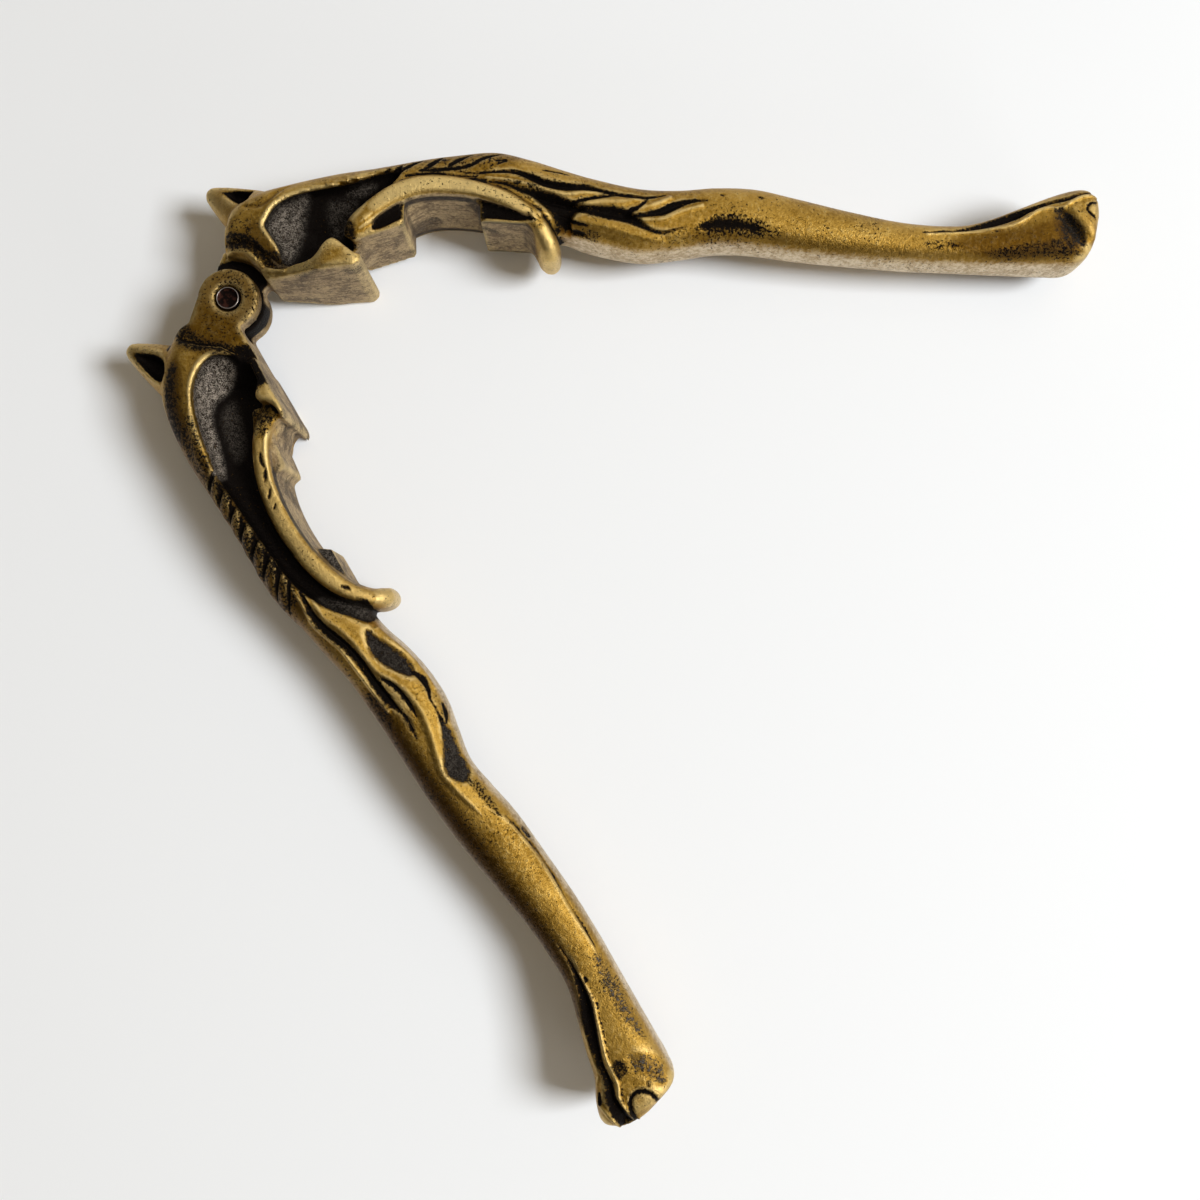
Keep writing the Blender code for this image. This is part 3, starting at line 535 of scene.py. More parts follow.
             (132.4, 3.8), (131.2, 6.0), sink=0.3, stain=0.55, grain=0.1),
        area(0.5, (75.2, 9.0), (76.6, 9.8), (79.5, 10.0), (82.5, 9.4), (84.5, 8.5), (84.0, 7.9),
             (81.5, 8.4), (78.5, 8.6), (76.0, 8.4), stain=0.85, sink=0.25),
        area(0.5, (49.0, 14.3), (52.0, 13.7), (55.0, 13.0), (56.5, 12.2), (54.6, 10.8), (54.2, 8.0),
             (52.6, 9.4), (51.2, 12.0), sink=1.1, stain=0.95),
        # Tops of the jaw blocks
        area(0.2, (23.6, 9.4), (24.8, 9.5), (26.6, 10.3), (28.3, 11.3), (28.4, 13.4), (25.8, 12.2),
             (23.8, 10.6), sink=0.6, stain=1.0, top=7.1),
        area(0.2, (39.8, 10.8), (41.8, 10.7), (47.2, 10.1), (48.6, 10.4), (46.2, 12.4), (43.5, 13.5),
             (39.8, 14.2), sink=0.7, stain=1.0, top=6.6),
        # Pits and soil
        area(0.8, (120.0, 3.6), (124.0, 3.9), (128.0, 4.4), (132.0, 4.8), (134.5, 3.6), (134.0, 2.0),
             (128.0, 2.0), (122.0, 2.4), pits=0.7, stain=0.36),
        area(0.5, (74.2, 8.8), (76.5, 10.4), (80.0, 10.8), (83.5, 10.0), (87.5, 8.2), (87.6, 6.9),
             (83.0, 7.3), (79.0, 7.7), (75.0, 7.6), pits=1.0),
        area(0.45, (0.2, 10.2), (3.0, 9.9), (5.2, 8.6), (6.6, 7.1), (8.2, 6.8), (9.4, 5.2), (9.9, 3.8),
             (8.4, 3.7), (6.4, 4.8), (4.6, 6.4), (3.0, 7.4), (0.2, 8.0), pits=1.0, stain=0.55),
        area(0.4, (17.2, 9.6), (18.4, 11.2), (20.4, 10.4), (20.9, 8.6), (20.6, 7.2), (18.6, 8.2), pits=1.0,
             stain=0.6),
        area(0.5, (31.0, 16.6), (35.0, 16.7), (36.0, 15.9), (32.0, 15.6), pits=0.55),
        area(0.5, (38.0, 16.2), (46.0, 13.8), (49.5, 11.0), (50.0, 9.0), (48.0, 10.0), (44.0, 13.0),
             pits=0.4),
        area(0.4, (44.0, 16.9), (50.0, 15.8), (52.0, 13.0), (48.0, 13.6), pits=0.9),
        area(0.8, (2.0, 12.6), (8.0, 10.0), (8.4, 7.0), (4.0, 8.4), (0.6, 10.6), pits=0.35),
        area(0.3, (34.6, 20.8), (35.4, 20.8), (35.4, 20.0), (34.6, 20.0), pits=1.0, stain=0.4),
        area(0.8, (53.8, 9.2), (56.4, 9.4), (59.0, 8.8), (58.2, 5.6), (56.0, 4.8), (53.6, 6.0), pits=0.9,
             stain=0.36),
        area(0.4, (110.5, 5.6), (114.0, 5.5), (116.5, 5.3), (116.0, 4.3), (111.0, 4.3), pits=0.8,
             stain=0.1),
        area(0.8, (67.0, 8.0), (74.0, 8.6), (86.0, 6.6), (90.0, 5.4), (88.0, 4.0), (76.0, 5.2),
             (68.0, 5.6), pits=0.35, stain=0.12),
        # Brown tarnish
        area(1.5, (74.0, 8.6), (84.0, 8.2), (96.0, 6.0), (108.0, 4.8), (120.0, 5.0), (131.0, 6.5),
             (135.0, 6.0), (134.0, 2.2), (120.0, 2.4), (108.0, 2.7), (96.0, 4.1), (84.0, 6.4), (74.0, 6.6),
             brown=0.5),
        area(1.2, (114.0, 5.0), (120.0, 6.6), (128.0, 7.6), (132.0, 8.4), (134.0, 6.0), (134.0, 2.2),
             (120.0, 2.4), brown=0.85),
        area(1.2, (2.0, 9.0), (4.5, 12.0), (7.0, 9.6), (8.6, 6.4), (6.0, 6.4), brown=0.6),
        area(0.8, (24.0, 20.4), (34.0, 21.8), (44.0, 22.4), (47.0, 21.0), (42.0, 19.0), (30.0, 18.4),
             (24.0, 18.6), brown=0.35, pits=0.4),
        # Lit grain on the cheek's floor
        area(1.1, (6.6, 10.9), (8.4, 14.0), (11.0, 15.4), (12.8, 15.9), (11.8, 12.2), (11.2, 9.2),
             (10.4, 6.6), (9.4, 5.4), (8.4, 7.6), grain=0.72),
        area(0.9, (16.0, 14.4), (17.8, 15.2), (20.5, 15.0), (19.0, 11.2), (16.6, 10.0), grain=0.22),
        area(0.5, (19.0, 16.2), (22.0, 17.6), (24.0, 17.6), (22.0, 16.0), grain=0.25),
    ],
}

lowerLever = {
    "body": (
        (0.4, 5.0, 10.4, 4.4, 2.4), (3.0, 1.6, 13.2, 5.5, 3.2), (6.7, 0.9, 16.2, 6.2, 3.4),
        (10.9, 0.9, 17.6, 6.7, 3.4), (17.0, 0.9, 18.3, 7.0, 3.2), (22.3, 2.2, 18.2, 7.0, 3.0),
        (28.0, 8.6, 17.7, 6.8, 2.8), (32.5, 10.3, 17.4, 6.7, 2.6), (38.0, 10.1, 17.3, 6.5, 2.6),
        (43.2, 7.4, 17.3, 6.3, 2.6), (47.9, 5.6, 16.5, 6.1, 2.8), (52.0, 5.2, 15.3, 5.9, 2.8),
        (56.8, 4.4, 14.3, 5.7, 2.8), (62.0, 2.7, 13.1, 5.4, 2.8), (67.5, 1.6, 12.5, 5.2, 2.8),
        (72.1, 1.4, 12.1, 5.1, 2.8), (77.3, 2.2, 11.9, 5.0, 2.6), (82.0, 2.8, 11.6, 4.9, 2.5),
        (87.0, 1.9, 11.2, 4.7, 2.5), (92.5, 0.7, 10.5, 4.5, 2.5), (99.8, -0.1, 9.2, 4.4, 2.5),
        (108.1, -0.9, 7.7, 4.2, 2.5), (115.3, -1.2, 6.9, 4.2, 2.6), (119.5, -1.2, 6.9, 4.4, 2.8),
        (124.5, -1.2, 8.0, 4.8, 3.0), (129.5, -1.2, 9.2, 5.3, 3.2), (133.0, -1.2, 9.9, 5.7, 3.4),
        (136.6, -1.2, 11.6, 5.9, 3.4), (139.2, -0.4, 12.0, 5.8, 3.2), (140.8, 3.8, 10.4, 4.6, 2.6),
    ),
    "recess": {
        "outline": ((10.0, 2.4), (8.3, 4.2), (7.4, 5.7), (7.3, 7.2), (8.0, 8.8), (9.3, 10.5), (11.1, 11.9),
                    (14.0, 13.1), (18.0, 14.1), (21.0, 14.5), (24.0, 15.0), (27.0, 14.9), (32.0, 14.5),
                    (37.0, 14.0), (42.0, 13.5), (46.0, 12.7), (49.0, 11.4), (51.5, 9.9), (54.0, 7.7),
                    (56.2, 5.6), (55.4, 4.2), (53.0, 3.8), (50.0, 6.0), (46.0, 7.4), (40.0, 9.0),
                    (34.0, 9.2), (28.0, 8.4), (24.0, 6.0), (20.0, 3.0), (16.0, 1.5)),
        "rim": ((10.0, 2.4), (7.4, 5.7), (8.0, 8.8), (11.1, 11.9), (18.0, 14.1), (24.0, 15.0), (32.0, 14.5),
                (42.0, 13.5), (49.0, 11.4), (54.0, 7.7)),
        "wall": 0.75, "floor": 2.3, "rimFloor": 4.9, "slope": 0.55},
    "band": {
        "path": (
            (19.8, 2.2, 2.0, 0.82, 3.0), (21.0, 4.0, 2.9, 0.96, 4.0), (23.8, 6.2, 3.1, 0.95, 5.0),
            (27.8, 8.0, 3.2, 0.92, 5.4), (32.0, 9.0, 3.3, 0.89, 5.4), (36.8, 9.3, 3.4, 0.88, 5.4),
            (42.2, 8.8, 3.4, 0.88, 5.2), (46.8, 7.6, 3.4, 0.86, 4.8), (50.4, 5.8, 3.4, 0.80, 3.8),
            (52.8, 3.6, 3.4, 0.71, 3.0), (53.6, 1.8, 3.4, 0.61, 2.6), (53.7, 0.5, 2.6, 0.43, 2.3),
            (53.7, 0.05, 1.4, 0.25, 2.2), (53.7, -0.1, 0.4, 0.08, 2.2)),
        "halfThickness": 8.1},
    "block": (
        (4.2, 0.55, 1.8, 5.3), (8.5, 0.55, 1.7, 6.2), (13.5, 0.5, 1.8, 7.7), (15.4, 0.5, 2.0, 8.2),
        (16.6, 0.5, 2.8, 8.7), (17.9, 0.5, 3.4, 8.97), (19.6, 0.5, 1.9, 8.97), (21.2, 0.5, 1.35, 8.97),
        (22.4, 0.9, 1.5, 8.5)),
    "steps": (
        ((21.5, 4.2), (28.4, 4.9), (29.0, 7.0), (28.3, 8.6), (24.0, 7.4), (20.5, 5.9)),
        ((43.2, 5.1), (49.9, 5.0), (51.4, 5.9), (48.0, 7.8), (41.0, 9.4), (41.5, 7.4)),
        ((18.6, 5.0), (18.9, 3.2), (21.6, 1.3), (22.2, 3.2), (24.0, 4.9), (25.4, 6.4), (22.6, 6.8))),
    "stepTops": (5.6, 4.6, 6.9),
    "jawZone": ((4.0, -2.0), (4.0, 1.2), (20.5, 1.0), (22.5, 3.4), (26.0, 6.2), (31.0, 8.2), (36.5, 8.6),
                (42.0, 7.6), (47.0, 6.0), (50.4, 4.4), (51.2, 2.0), (51.2, -2.0)),
    "ear": {"base": (5.2, 13.2), "tip": (-2.7, 18.4), "width": 9.2, "tipRadius": 0.7, "halfThickness": 5.2,
            "fullness": 0.8, "headFloor": 1.8, "earFloor": 1.1,
            "hollow": ((-0.8, 17.6), (0.2, 16.0), (1.2, 14.8), (2.6, 13.8), (4.0, 13.5), (5.6, 14.1),
                       (6.5, 15.0), (6.5, 15.8), (5.0, 16.7), (2.7, 17.4), (0.8, 17.8))},
    "neck": ((4.6, 0.7), (10.0, 0.8), (9.0, 6.0), (4.8, 10.4), (2.0, 8.8), (-0.1, 6.8), (-2.2, 4.6),
             (-3.9, 2.6)),
    "shelf": ((-3.0, 8.4), (0.0, 9.6), (2.6, 9.6), (4.2, 8.0), (5.8, 6.2), (7.2, 4.3), (9.0, 3.1),
              (10.6, 2.8), (11.0, 0.0), (4.0, -4.0), (-6.0, 0.0)),
    "lines": [
        # Rim of the scooped cheek with a painted highlight along it, and a fold below the ear with a faint
        # painted highlight
        stroke(0.25, (10.8, 3.5, 0.4), (9.2, 3.9, 0.8), (7.9, 5.0, 1.0), (7.3, 6.6, 1.1), (7.8, 8.8, 1.0),
               (9.2, 10.7, 0.9), (11.2, 12.2, 0.7), (13.0, 13.0, 0.4), shine=0.8),
        stroke(0.25, (11.2, 12.2, 0.6), (14.0, 13.5, 1.0), (16.0, 14.3, 1.6), (18.5, 15.0, 2.0),
               (21.0, 15.8, 1.8), (23.0, 16.0, 0.8), shine=0.12),
        # Painted highlight along the edge of the band beside the jaws
        stroke(0.12, (22.8, 3.4, 0.4), (23.6, 5.0, 0.6), (26.4, 6.6, 0.6), (30.0, 7.8, 0.5),
               (34.0, 8.1, 0.3), shine=0.9),
        # Groove round the lug
        stroke(-0.35, (1.2, 9.9, 0.5), (3.2, 8.9, 0.9), (4.8, 7.2, 1.0), (6.4, 5.2, 1.0), (8.0, 3.6, 0.9),
               (10.2, 2.9, 0.6), dark=0.85),
        # Twisted cuts along the back, and the lobes between them
        stroke(-0.7, (24.2, 15.0, 0.8), (25.6, 16.8, 0.8), (27.2, 18.2, 0.5)),
        stroke(-0.75, (26.2, 14.3, 1.1), (28.0, 16.0, 0.8), (30.2, 18.0, 0.5)),
        stroke(-0.75, (29.4, 14.0, 1.2), (31.2, 15.6, 0.8), (33.4, 17.8, 0.5)),
        stroke(-0.75, (32.2, 13.7, 1.2), (34.2, 15.4, 0.8), (36.5, 17.7, 0.5)),
        stroke(-0.7, (35.6, 13.4, 1.1), (37.4, 15.1, 0.75), (39.6, 17.6, 0.5)),
        stroke(-0.65, (38.6, 13.0, 1.0), (40.6, 14.8, 0.7), (42.8, 17.4, 0.4)),
        stroke(-0.55, (41.6, 12.8, 0.8), (44.0, 14.7, 0.6), (46.8, 17.0, 0.35)),
        stroke(-0.35, (44.8, 12.9, 0.6), (46.8, 14.2, 0.45), (48.8, 15.6, 0.3)),
        stroke(0.3, (25.6, 15.4, 1.1), (27.0, 16.4, 2.0), (28.6, 17.8, 1.3)),
        stroke(0.4, (28.2, 14.6, 1.2), (29.8, 16.0, 2.2), (31.8, 17.7, 1.3)),
        stroke(0.4, (31.2, 14.2, 1.3), (32.8, 15.7, 2.2), (35.0, 17.5, 1.3)),
        stroke(0.4, (34.2, 13.9, 1.3), (36.0, 15.4, 2.2), (38.2, 17.3, 1.3)),
        stroke(0.4, (37.4, 13.5, 1.3), (39.2, 15.0, 2.2), (41.4, 17.1, 1.3)),
        stroke(0.35, (40.4, 13.2, 1.3), (42.6, 14.9, 2.2), (45.0, 16.9, 1.3)),
        stroke(0.25, (43.6, 13.2, 1.0), (45.6, 14.4, 1.8), (47.8, 16.0, 1.0)),
        # Strands of hair, cut and raised
        stroke(-0.85, (47.0, 12.2, 0.6), (50.5, 12.4, 0.9), (53.0, 12.0, 1.1), (55.5, 11.1, 1.2),
               (58.0, 10.2, 1.2), (61.0, 9.6, 1.2), (64.0, 9.3, 1.2), (67.0, 8.9, 1.3), (69.3, 8.4, 0.9),
               (70.5, 8.0, 0.4)),
        stroke(0.35, (45.5, 13.2, 0.5), (49.0, 12.9, 0.7), (52.0, 13.0, 0.8), (54.5, 12.3, 0.8),
               (57.5, 11.2, 0.8), (61.0, 10.7, 0.8), (65.0, 10.2, 0.8), (69.5, 9.6, 0.8)),
        stroke(0.35, (48.5, 11.2, 0.6), (52.0, 11.0, 1.0), (54.5, 9.9, 1.2), (57.5, 8.9, 1.2),
               (61.0, 8.4, 1.2), (63.5, 7.9, 1.2), (65.5, 6.7, 1.3), (68.0, 5.6, 1.5), (71.5, 5.1, 1.6),
               (75.0, 5.4, 1.7), (79.0, 6.3, 1.7), (82.0, 6.8, 1.7), (85.0, 6.3, 1.5), (88.0, 5.5, 1.0),
               (90.5, 4.9, 0.3)),
        stroke(-0.45, (64.6, 8.0, 0.4), (66.5, 6.95, 0.6), (68.5, 6.4, 0.6), (70.5, 6.2, 0.5),
               (72.4, 6.2, 0.25)),
        stroke(-0.3, (69.8, 8.2, 0.3), (72.0, 7.6, 0.4), (75.4, 7.9, 0.2)),
        stroke(0.35, (57.4, 5.0, 0.8), (60.0, 4.2, 1.0), (63.0, 3.0, 1.0), (66.3, 2.2, 0.9),
               (70.0, 1.9, 0.8)),
        stroke(-0.4, (57.0, 4.4, 0.4), (59.5, 3.3, 0.5), (63.0, 2.0, 0.5), (66.4, 1.6, 0.3)),
        stroke(-0.4, (66.0, 3.4, 0.6), (67.6, 2.8, 0.8), (69.4, 2.7, 0.6), (71.0, 3.1, 0.35),
               (73.0, 3.1, 0.3), (75.2, 3.3, 0.7)),
        stroke(-0.25, (72.4, 2.0, 0.25), (73.8, 2.2, 0.5), (75.2, 2.7, 0.3)),
        # Cleft of the foot and its rims
        stroke(-1.1, (112.5, 4.6, 0.2), (116.0, 4.4, 0.5), (119.0, 4.6, 1.0), (122.0, 5.2, 1.7),
               (125.0, 6.2, 2.0), (128.0, 7.1, 1.7), (131.0, 7.8, 1.3), (134.0, 8.0, 1.3),
               (136.0, 8.8, 1.7), (138.5, 8.7, 2.0), (141.4, 8.4, 1.9)),
        stroke(0.35, (118.0, 3.9, 0.4), (122.0, 4.0, 0.6), (125.0, 4.8, 0.7), (128.0, 5.7, 0.7),
               (131.0, 6.5, 0.7), (134.3, 6.7, 0.7), (136.2, 7.5, 0.7), (138.0, 7.6, 0.7),
               (140.0, 7.1, 0.6), (141.0, 6.5, 0.4)),
        stroke(0.3, (132.6, 9.0, 0.4), (134.2, 10.1, 0.6), (136.0, 10.7, 0.7), (138.0, 10.3, 0.7),
               (140.4, 9.7, 0.6)),
        stroke(-0.2, (134.8, 10.0, 0.3), (136.2, 10.6, 0.35)),
        # Seam of the mould along the leg, with a painted highlight on the raised line
        stroke(0.07, (89.2, 4.0, 0.2), (92.2, 2.5, 0.5), (94.6, 1.8, 0.3), (97.0, 1.35, 0.5),
               (99.1, 1.0, 0.3), (104.4, 0.6, 0.5), (109.1, 0.6, 0.4), (114.0, 0.3, 0.5),
               (118.0, 0.3, 0.2), shine=0.4),
        stroke(-0.12, (92.0, 2.0, 0.15), (94.4, 1.4, 0.3), (96.0, 1.2, 0.15), (98.6, 0.65, 0.3),
               (101.0, 0.4, 0.12), (104.2, 0.2, 0.3), (108.0, 0.2, 0.12), (112.0, 0.0, 0.3),
               (116.0, -0.1, 0.2), dark=0.55),
        stroke(-0.25, (95.2, 0.7, 0.5), (96.6, 0.4, 0.7)),
        stroke(-0.2, (119.1, 3.5, 0.4), (119.5, 3.5, 0.5)),
        # Painted highlight along the crown of the band
        stroke(0.02, (24.0, 6.4, 1.6), (27.8, 8.0, 2.2), (32.0, 9.0, 2.4), (36.8, 9.3, 2.4),
               (42.2, 8.8, 2.4), (46.8, 7.6, 2.4), (50.4, 5.8, 2.2), (52.8, 3.6, 1.8), shine=0.42),
        # Nicks on the band and in its shadow
        stroke(-0.25, (25.4, 7.0, 0.35), (26.6, 7.5, 0.55), (27.6, 7.5, 0.3), dark=0.8),
        stroke(-0.25, (28.0, 7.5, 0.3), (28.8, 8.0, 0.5), (29.6, 8.5, 0.3), dark=0.8),
        stroke(-0.22, (31.0, 8.4, 0.3), (31.8, 9.0, 0.45), (32.2, 9.3, 0.25), dark=0.7),
        stroke(-0.2, (33.4, 8.8, 0.3), (33.9, 9.3, 0.4), dark=0.5),
        stroke(-0.25, (49.4, 6.2, 0.35), (50.0, 5.6, 0.6), (50.5, 5.4, 0.3), dark=0.8),
        stroke(-0.25, (39.0, 10.9, 0.4), (40.4, 10.7, 0.6), (41.6, 10.4, 0.4), dark=1.0),
        # Toenail
        stroke(-0.35, (140.8, 7.0, 0.5), (138.8, 6.9, 0.5), (137.4, 6.2, 0.5), (136.95, 5.0, 0.5),
               (137.4, 3.9, 0.5), (138.6, 3.05, 0.5), (140.4, 2.8, 0.4)),
        stroke(-0.15, (136.5, 2.9, 0.5), (137.0, 2.9, 0.6), dark=0.5),
    ],
    "patches": [
        # Hollows
        area(0.4, (57.0, 6.3), (59.0, 7.2), (61.0, 7.3), (63.2, 6.5), (65.2, 5.1), (66.4, 3.9),
             (65.6, 3.1), (63.0, 3.5), (60.0, 4.9), (58.0, 5.8), sink=0.7, stain=1.0, grain=0.13),
        area(0.45, (75.0, 3.2), (77.0, 4.2), (79.0, 5.1), (81.0, 6.2), (82.6, 6.3), (84.2, 5.3),
             (84.6, 4.2), (83.0, 3.2), (80.0, 3.2), (77.0, 2.8), sink=0.45, stain=0.95, pits=0.5,
             grain=0.16),
        area(0.8, (132.0, 3.4), (134.0, 3.8), (135.4, 2.6), (137.6, 1.6), (138.2, 0.4), (136.0, -0.4),
             (134.0, 0.2), (132.6, 1.8), pits=0.5, stain=0.4, sink=0.25, grain=0.3),
        # Tops of the jaw blocks
        area(0.3, (41.4, 7.6), (43.0, 5.0), (49.9, 4.9), (51.0, 5.6), (47.4, 7.2), (41.2, 9.0), stain=1.0,
             grain=0.3, top=4.6),
        area(0.3, (20.8, 4.0), (28.6, 4.6), (29.4, 7.0), (28.3, 8.8), (20.4, 6.2), wall=0.9, top=5.6),
        area(0.5, (7.8, 3.4), (8.0, 1.2), (10.0, 0.1), (15.8, 0.1), (16.6, 1.4), (16.6, 3.4), (14.5, 5.4),
             (10.6, 4.4), stain=0.8, pits=1.0, top=8.3),
        # Pits and soil
        area(0.4, (84.4, 4.6), (87.0, 4.1), (89.5, 3.6), (92.0, 2.6), (89.5, 2.4), (87.0, 2.7),
             (84.6, 3.6), pits=1.0, stain=0.25),
        area(0.8, (117.0, 0.9), (122.0, 1.7), (126.0, 1.6), (130.0, 0.9), (131.0, -0.1), (124.0, -0.4),
             (117.5, -0.2), pits=0.5, stain=0.4, grain=0.3),
        area(0.4, (131.8, 6.2), (133.6, 6.3), (134.0, 5.0), (132.8, 4.2), (131.6, 4.8), pits=0.8,
             stain=0.55),
        area(0.9, (5.3, 12.4), (7.4, 14.9), (11.0, 16.9), (15.0, 18.0), (17.4, 17.4), (16.0, 16.0),
             (12.0, 14.8), (9.0, 13.4), (6.6, 12.0), pits=1.0, stain=0.55),
        area(0.4, (19.0, 2.4), (20.6, 2.6), (22.0, 3.4), (21.0, 5.6), (19.4, 5.4), (18.4, 4.4), pits=1.0,
             stain=0.45),
        area(0.5, (66.0, 11.6), (70.0, 11.4), (72.5, 10.6), (70.0, 9.4), (66.0, 10.4), pits=1.0,
             stain=0.4),
        area(0.4, (18.8, 4.9), (19.0, 3.4), (21.4, 1.9), (22.0, 3.4), (23.6, 5.2), (22.0, 6.4), pits=1.0,
             stain=0.3),
        area(0.6, (-4.4, 0.0), (-3.0, 3.6), (0.0, 5.0), (3.0, 6.2), (7.0, 4.2), (9.6, 2.4), (9.0, 0.8),
             (4.0, -3.0), (0.0, -4.7), (-3.4, -3.0), pits=0.45),
        area(0.5, (30.0, 13.6), (36.0, 13.2), (44.0, 12.8), (48.0, 13.4), (47.0, 16.6), (38.0, 16.8),
             (29.0, 17.4), (23.0, 17.6), (24.0, 15.4), pits=0.95),
        area(0.5, (14.0, 13.6), (20.0, 14.4), (23.8, 15.2), (23.0, 17.4), (17.0, 17.2), pits=1.0),
        area(0.6, (46.0, 16.2), (52.0, 14.4), (60.0, 12.8), (66.0, 12.0), (66.0, 10.8), (56.0, 12.0),
             (50.0, 13.8), pits=0.55),
        area(0.8, (0.4, 9.6), (3.0, 10.4), (5.2, 9.0), (7.0, 6.6), (8.4, 4.4), (8.8, 2.4), (6.8, 3.0),
             (5.0, 5.0), (3.0, 6.8), (0.2, 7.6), pits=1.0, stain=0.5),
        area(0.5, (20.0, 17.6), (24.0, 17.2), (23.6, 15.4), (19.0, 15.4), (14.0, 15.0), (16.0, 16.6),
             pits=0.7, stain=0.25),
        # Brown tarnish; the long patch along the outer half of the leg is painted shade
        area(2.0, (66.0, 12.6), (82.0, 12.6), (99.8, 10.4), (112.0, 8.6), (124.0, 8.8), (124.0, 5.4),
             (112.0, 4.2), (99.8, 5.6), (87.0, 7.4), (78.0, 8.4), (68.0, 9.6), brown=1.0, stain=0.26,
             pits=0.3),
        area(0.8, (-5.4, -2.0), (-5.0, 3.0), (-2.0, 7.0), (2.0, 8.4), (5.4, 6.6), (7.0, 2.6), (5.4, -2.6),
             (2.0, -5.2), (-2.0, -5.2), brown=0.72),
        area(0.7, (5.0, 12.0), (10.0, 16.0), (18.0, 18.6), (48.0, 18.0), (52.0, 14.0), (44.0, 12.4),
             (24.0, 14.6), (14.0, 14.4), (8.0, 11.6), brown=0.75),
        area(0.8, (52.0, 15.6), (62.0, 13.8), (74.0, 12.4), (74.0, 10.6), (62.0, 11.6), (52.0, 13.2),
             brown=0.6, pits=0.5),
        # Lit grain on the cheek's floor
        area(0.6, (7.6, 6.8), (8.3, 9.2), (11.0, 12.0), (14.0, 13.2), (18.0, 14.0), (24.5, 15.0),
             (24.8, 14.0), (20.0, 12.6), (16.0, 11.6), (13.6, 10.0), (12.4, 7.0), (10.6, 4.6), (8.4, 5.0),
             grain=1.0),
        area(0.8, (14.4, 7.4), (16.0, 10.0), (20.0, 11.2), (23.4, 11.4), (22.0, 9.5), (18.0, 8.0),
             grain=0.22),
        area(0.5, (49.0, 10.6), (51.5, 9.6), (54.0, 7.4), (55.8, 5.2), (53.6, 5.0), (51.0, 7.6),
             grain=0.25),
    ],
}


# Joins the shells, cuts and adds the knuckle, and evens the mesh out
def castLever(name, lever, knuckleTools):
    body = bodyShell(name, lever)
    joined = [
        bandShell(name + "Band", lever["band"]),
        blockShell(name + "Block", lever["block"]),
        earShell(name + "Ear", lever["ear"]),
    ]
    for corners, top in zip(lever["steps"], lever["stepTops"]):
        joined.append(prism(name + "Step", sharpOutline(corners), -top, top))
    combine(body, "UNION", joined)
    settled(body, joined)
    for operation, tools in knuckleTools(lever):
        combine(body, operation, tools)
        settled(body, tools)
    remesh(body, shells["voxel"])
    settled(body)
    return body


# Distance from the nearest line, patch edge or recess edge, up to a margin
def nearDetail(xy, lever, margin=1.5):
    nearest = np.full(len(xy), margin)
    closed = [lever["recess"]["outline"], lever["ear"]["hollow"]]
    closed += [patch["outline"] for patch in lever["patches"]]
    rims = [np.pad(outlineThrough(corners, 4), ((0, 1), (0, 0)), "wrap") for corners in closed]
    strokes = [curveThrough(line["path"], 4 * (len(line["path"]) - 1)) for line in lever["lines"]]
    for rows in strokes + rims:
        near = boxed(xy, rows, margin)
        distance, width = alongLine(xy[near], rows)
        if width.shape[1]:
            distance = distance - width[:, 0] / 2
        nearest[near] = np.minimum(nearest[near], distance)
    return nearest


# Halves the faces nearest to the fine detail, as many as the triangle limit allows; steep faces wait
# until last
def refine(body, lever):
    mesh = body.data
    points, _, _ = readMesh(mesh)
    corners = np.zeros(len(mesh.loops), np.int32)
    mesh.loops.foreach_get("vertex_index", corners)
    normals = np.zeros(len(mesh.polygons) * 3, np.float32)
    mesh.polygons.foreach_get("normal", normals)
    centres = points[corners.reshape(-1, 4)].mean(1)
    distance = nearDetail(centres[:, :2], lever)
    distance[np.abs(normals.reshape(-1, 3)[:, 2]) < shells["steepBelow"]] = shells["steepWaits"]
    budget = int((shells["triangleLimit"] - 2 * len(mesh.polygons)) / shells["trianglesPerCut"])
    chosen = np.argsort(distance, kind="stable")[:budget]
    shell = bmesh.new()
    shell.from_mesh(mesh)
    shell.faces.ensure_lookup_table()
    edges = list({edge for i in chosen for edge in shell.faces[int(i)].edges})
    bmesh.ops.subdivide_edges(shell, edges=edges, cuts=1, use_grid_fill=True)
    shell.to_mesh(mesh)
    shell.free()


def upperKnuckle(lever):
    through, half = knuckle["cutReach"], knuckle["tongueHalf"]
    neckHalf = half - knuckle["tongueNeckStep"]
    bore = roundOutline(knuckle["boreRadius"], knuckle["boreSides"])
    yield "DIFFERENCE", [prism("seat", roundOutline(knuckle["seatRadius"]), -through, through)]
    yield "UNION", [
        prism("neck", sharpOutline(lever["neck"]), -neckHalf, neckHalf),
        prism("tongue", roundOutline(knuckle["tongueRadius"]), -half, half, 0.2),
    ]
    yield "DIFFERENCE", [prism("bore", bore, -through, through)]


def lowerKnuckle(lever):
    through, top = knuckle["cutReach"], knuckle["lugTop"]
    half, floor, sides = knuckle["slotHalf"], knuckle["recessFloor"], knuckle["boreSides"]
    neckHalf = top - knuckle["lugNeckStep"]
    shelf, recess = outlineThrough(lever["shelf"]), roundOutline(knuckle["recessRadius"], sides)
    yield "DIFFERENCE", [
        prism("shelfNear", shelf, top, through, 0.1),
        prism("shelfFar", shelf, -through, -top, 0.1),
    ]
    yield "UNION", [
        prism("neck", sharpOutline(lever["neck"]), -neckHalf, neckHalf, 0.3),
        prism("lugs", roundOutline(knuckle["lugRadius"]), -top, top, 0.4),
    ]
    yield "DIFFERENCE", [
        prism("slot", roundOutline(knuckle["slotRadius"]), -half, half, 0.1),
        prism("bore", roundOutline(knuckle["boreRadius"], sides), -through, through),
        prism("recessNear", recess, floor, through, 0.1),
        prism("recessFar", recess, -through, -floor, 0.1),
    ]


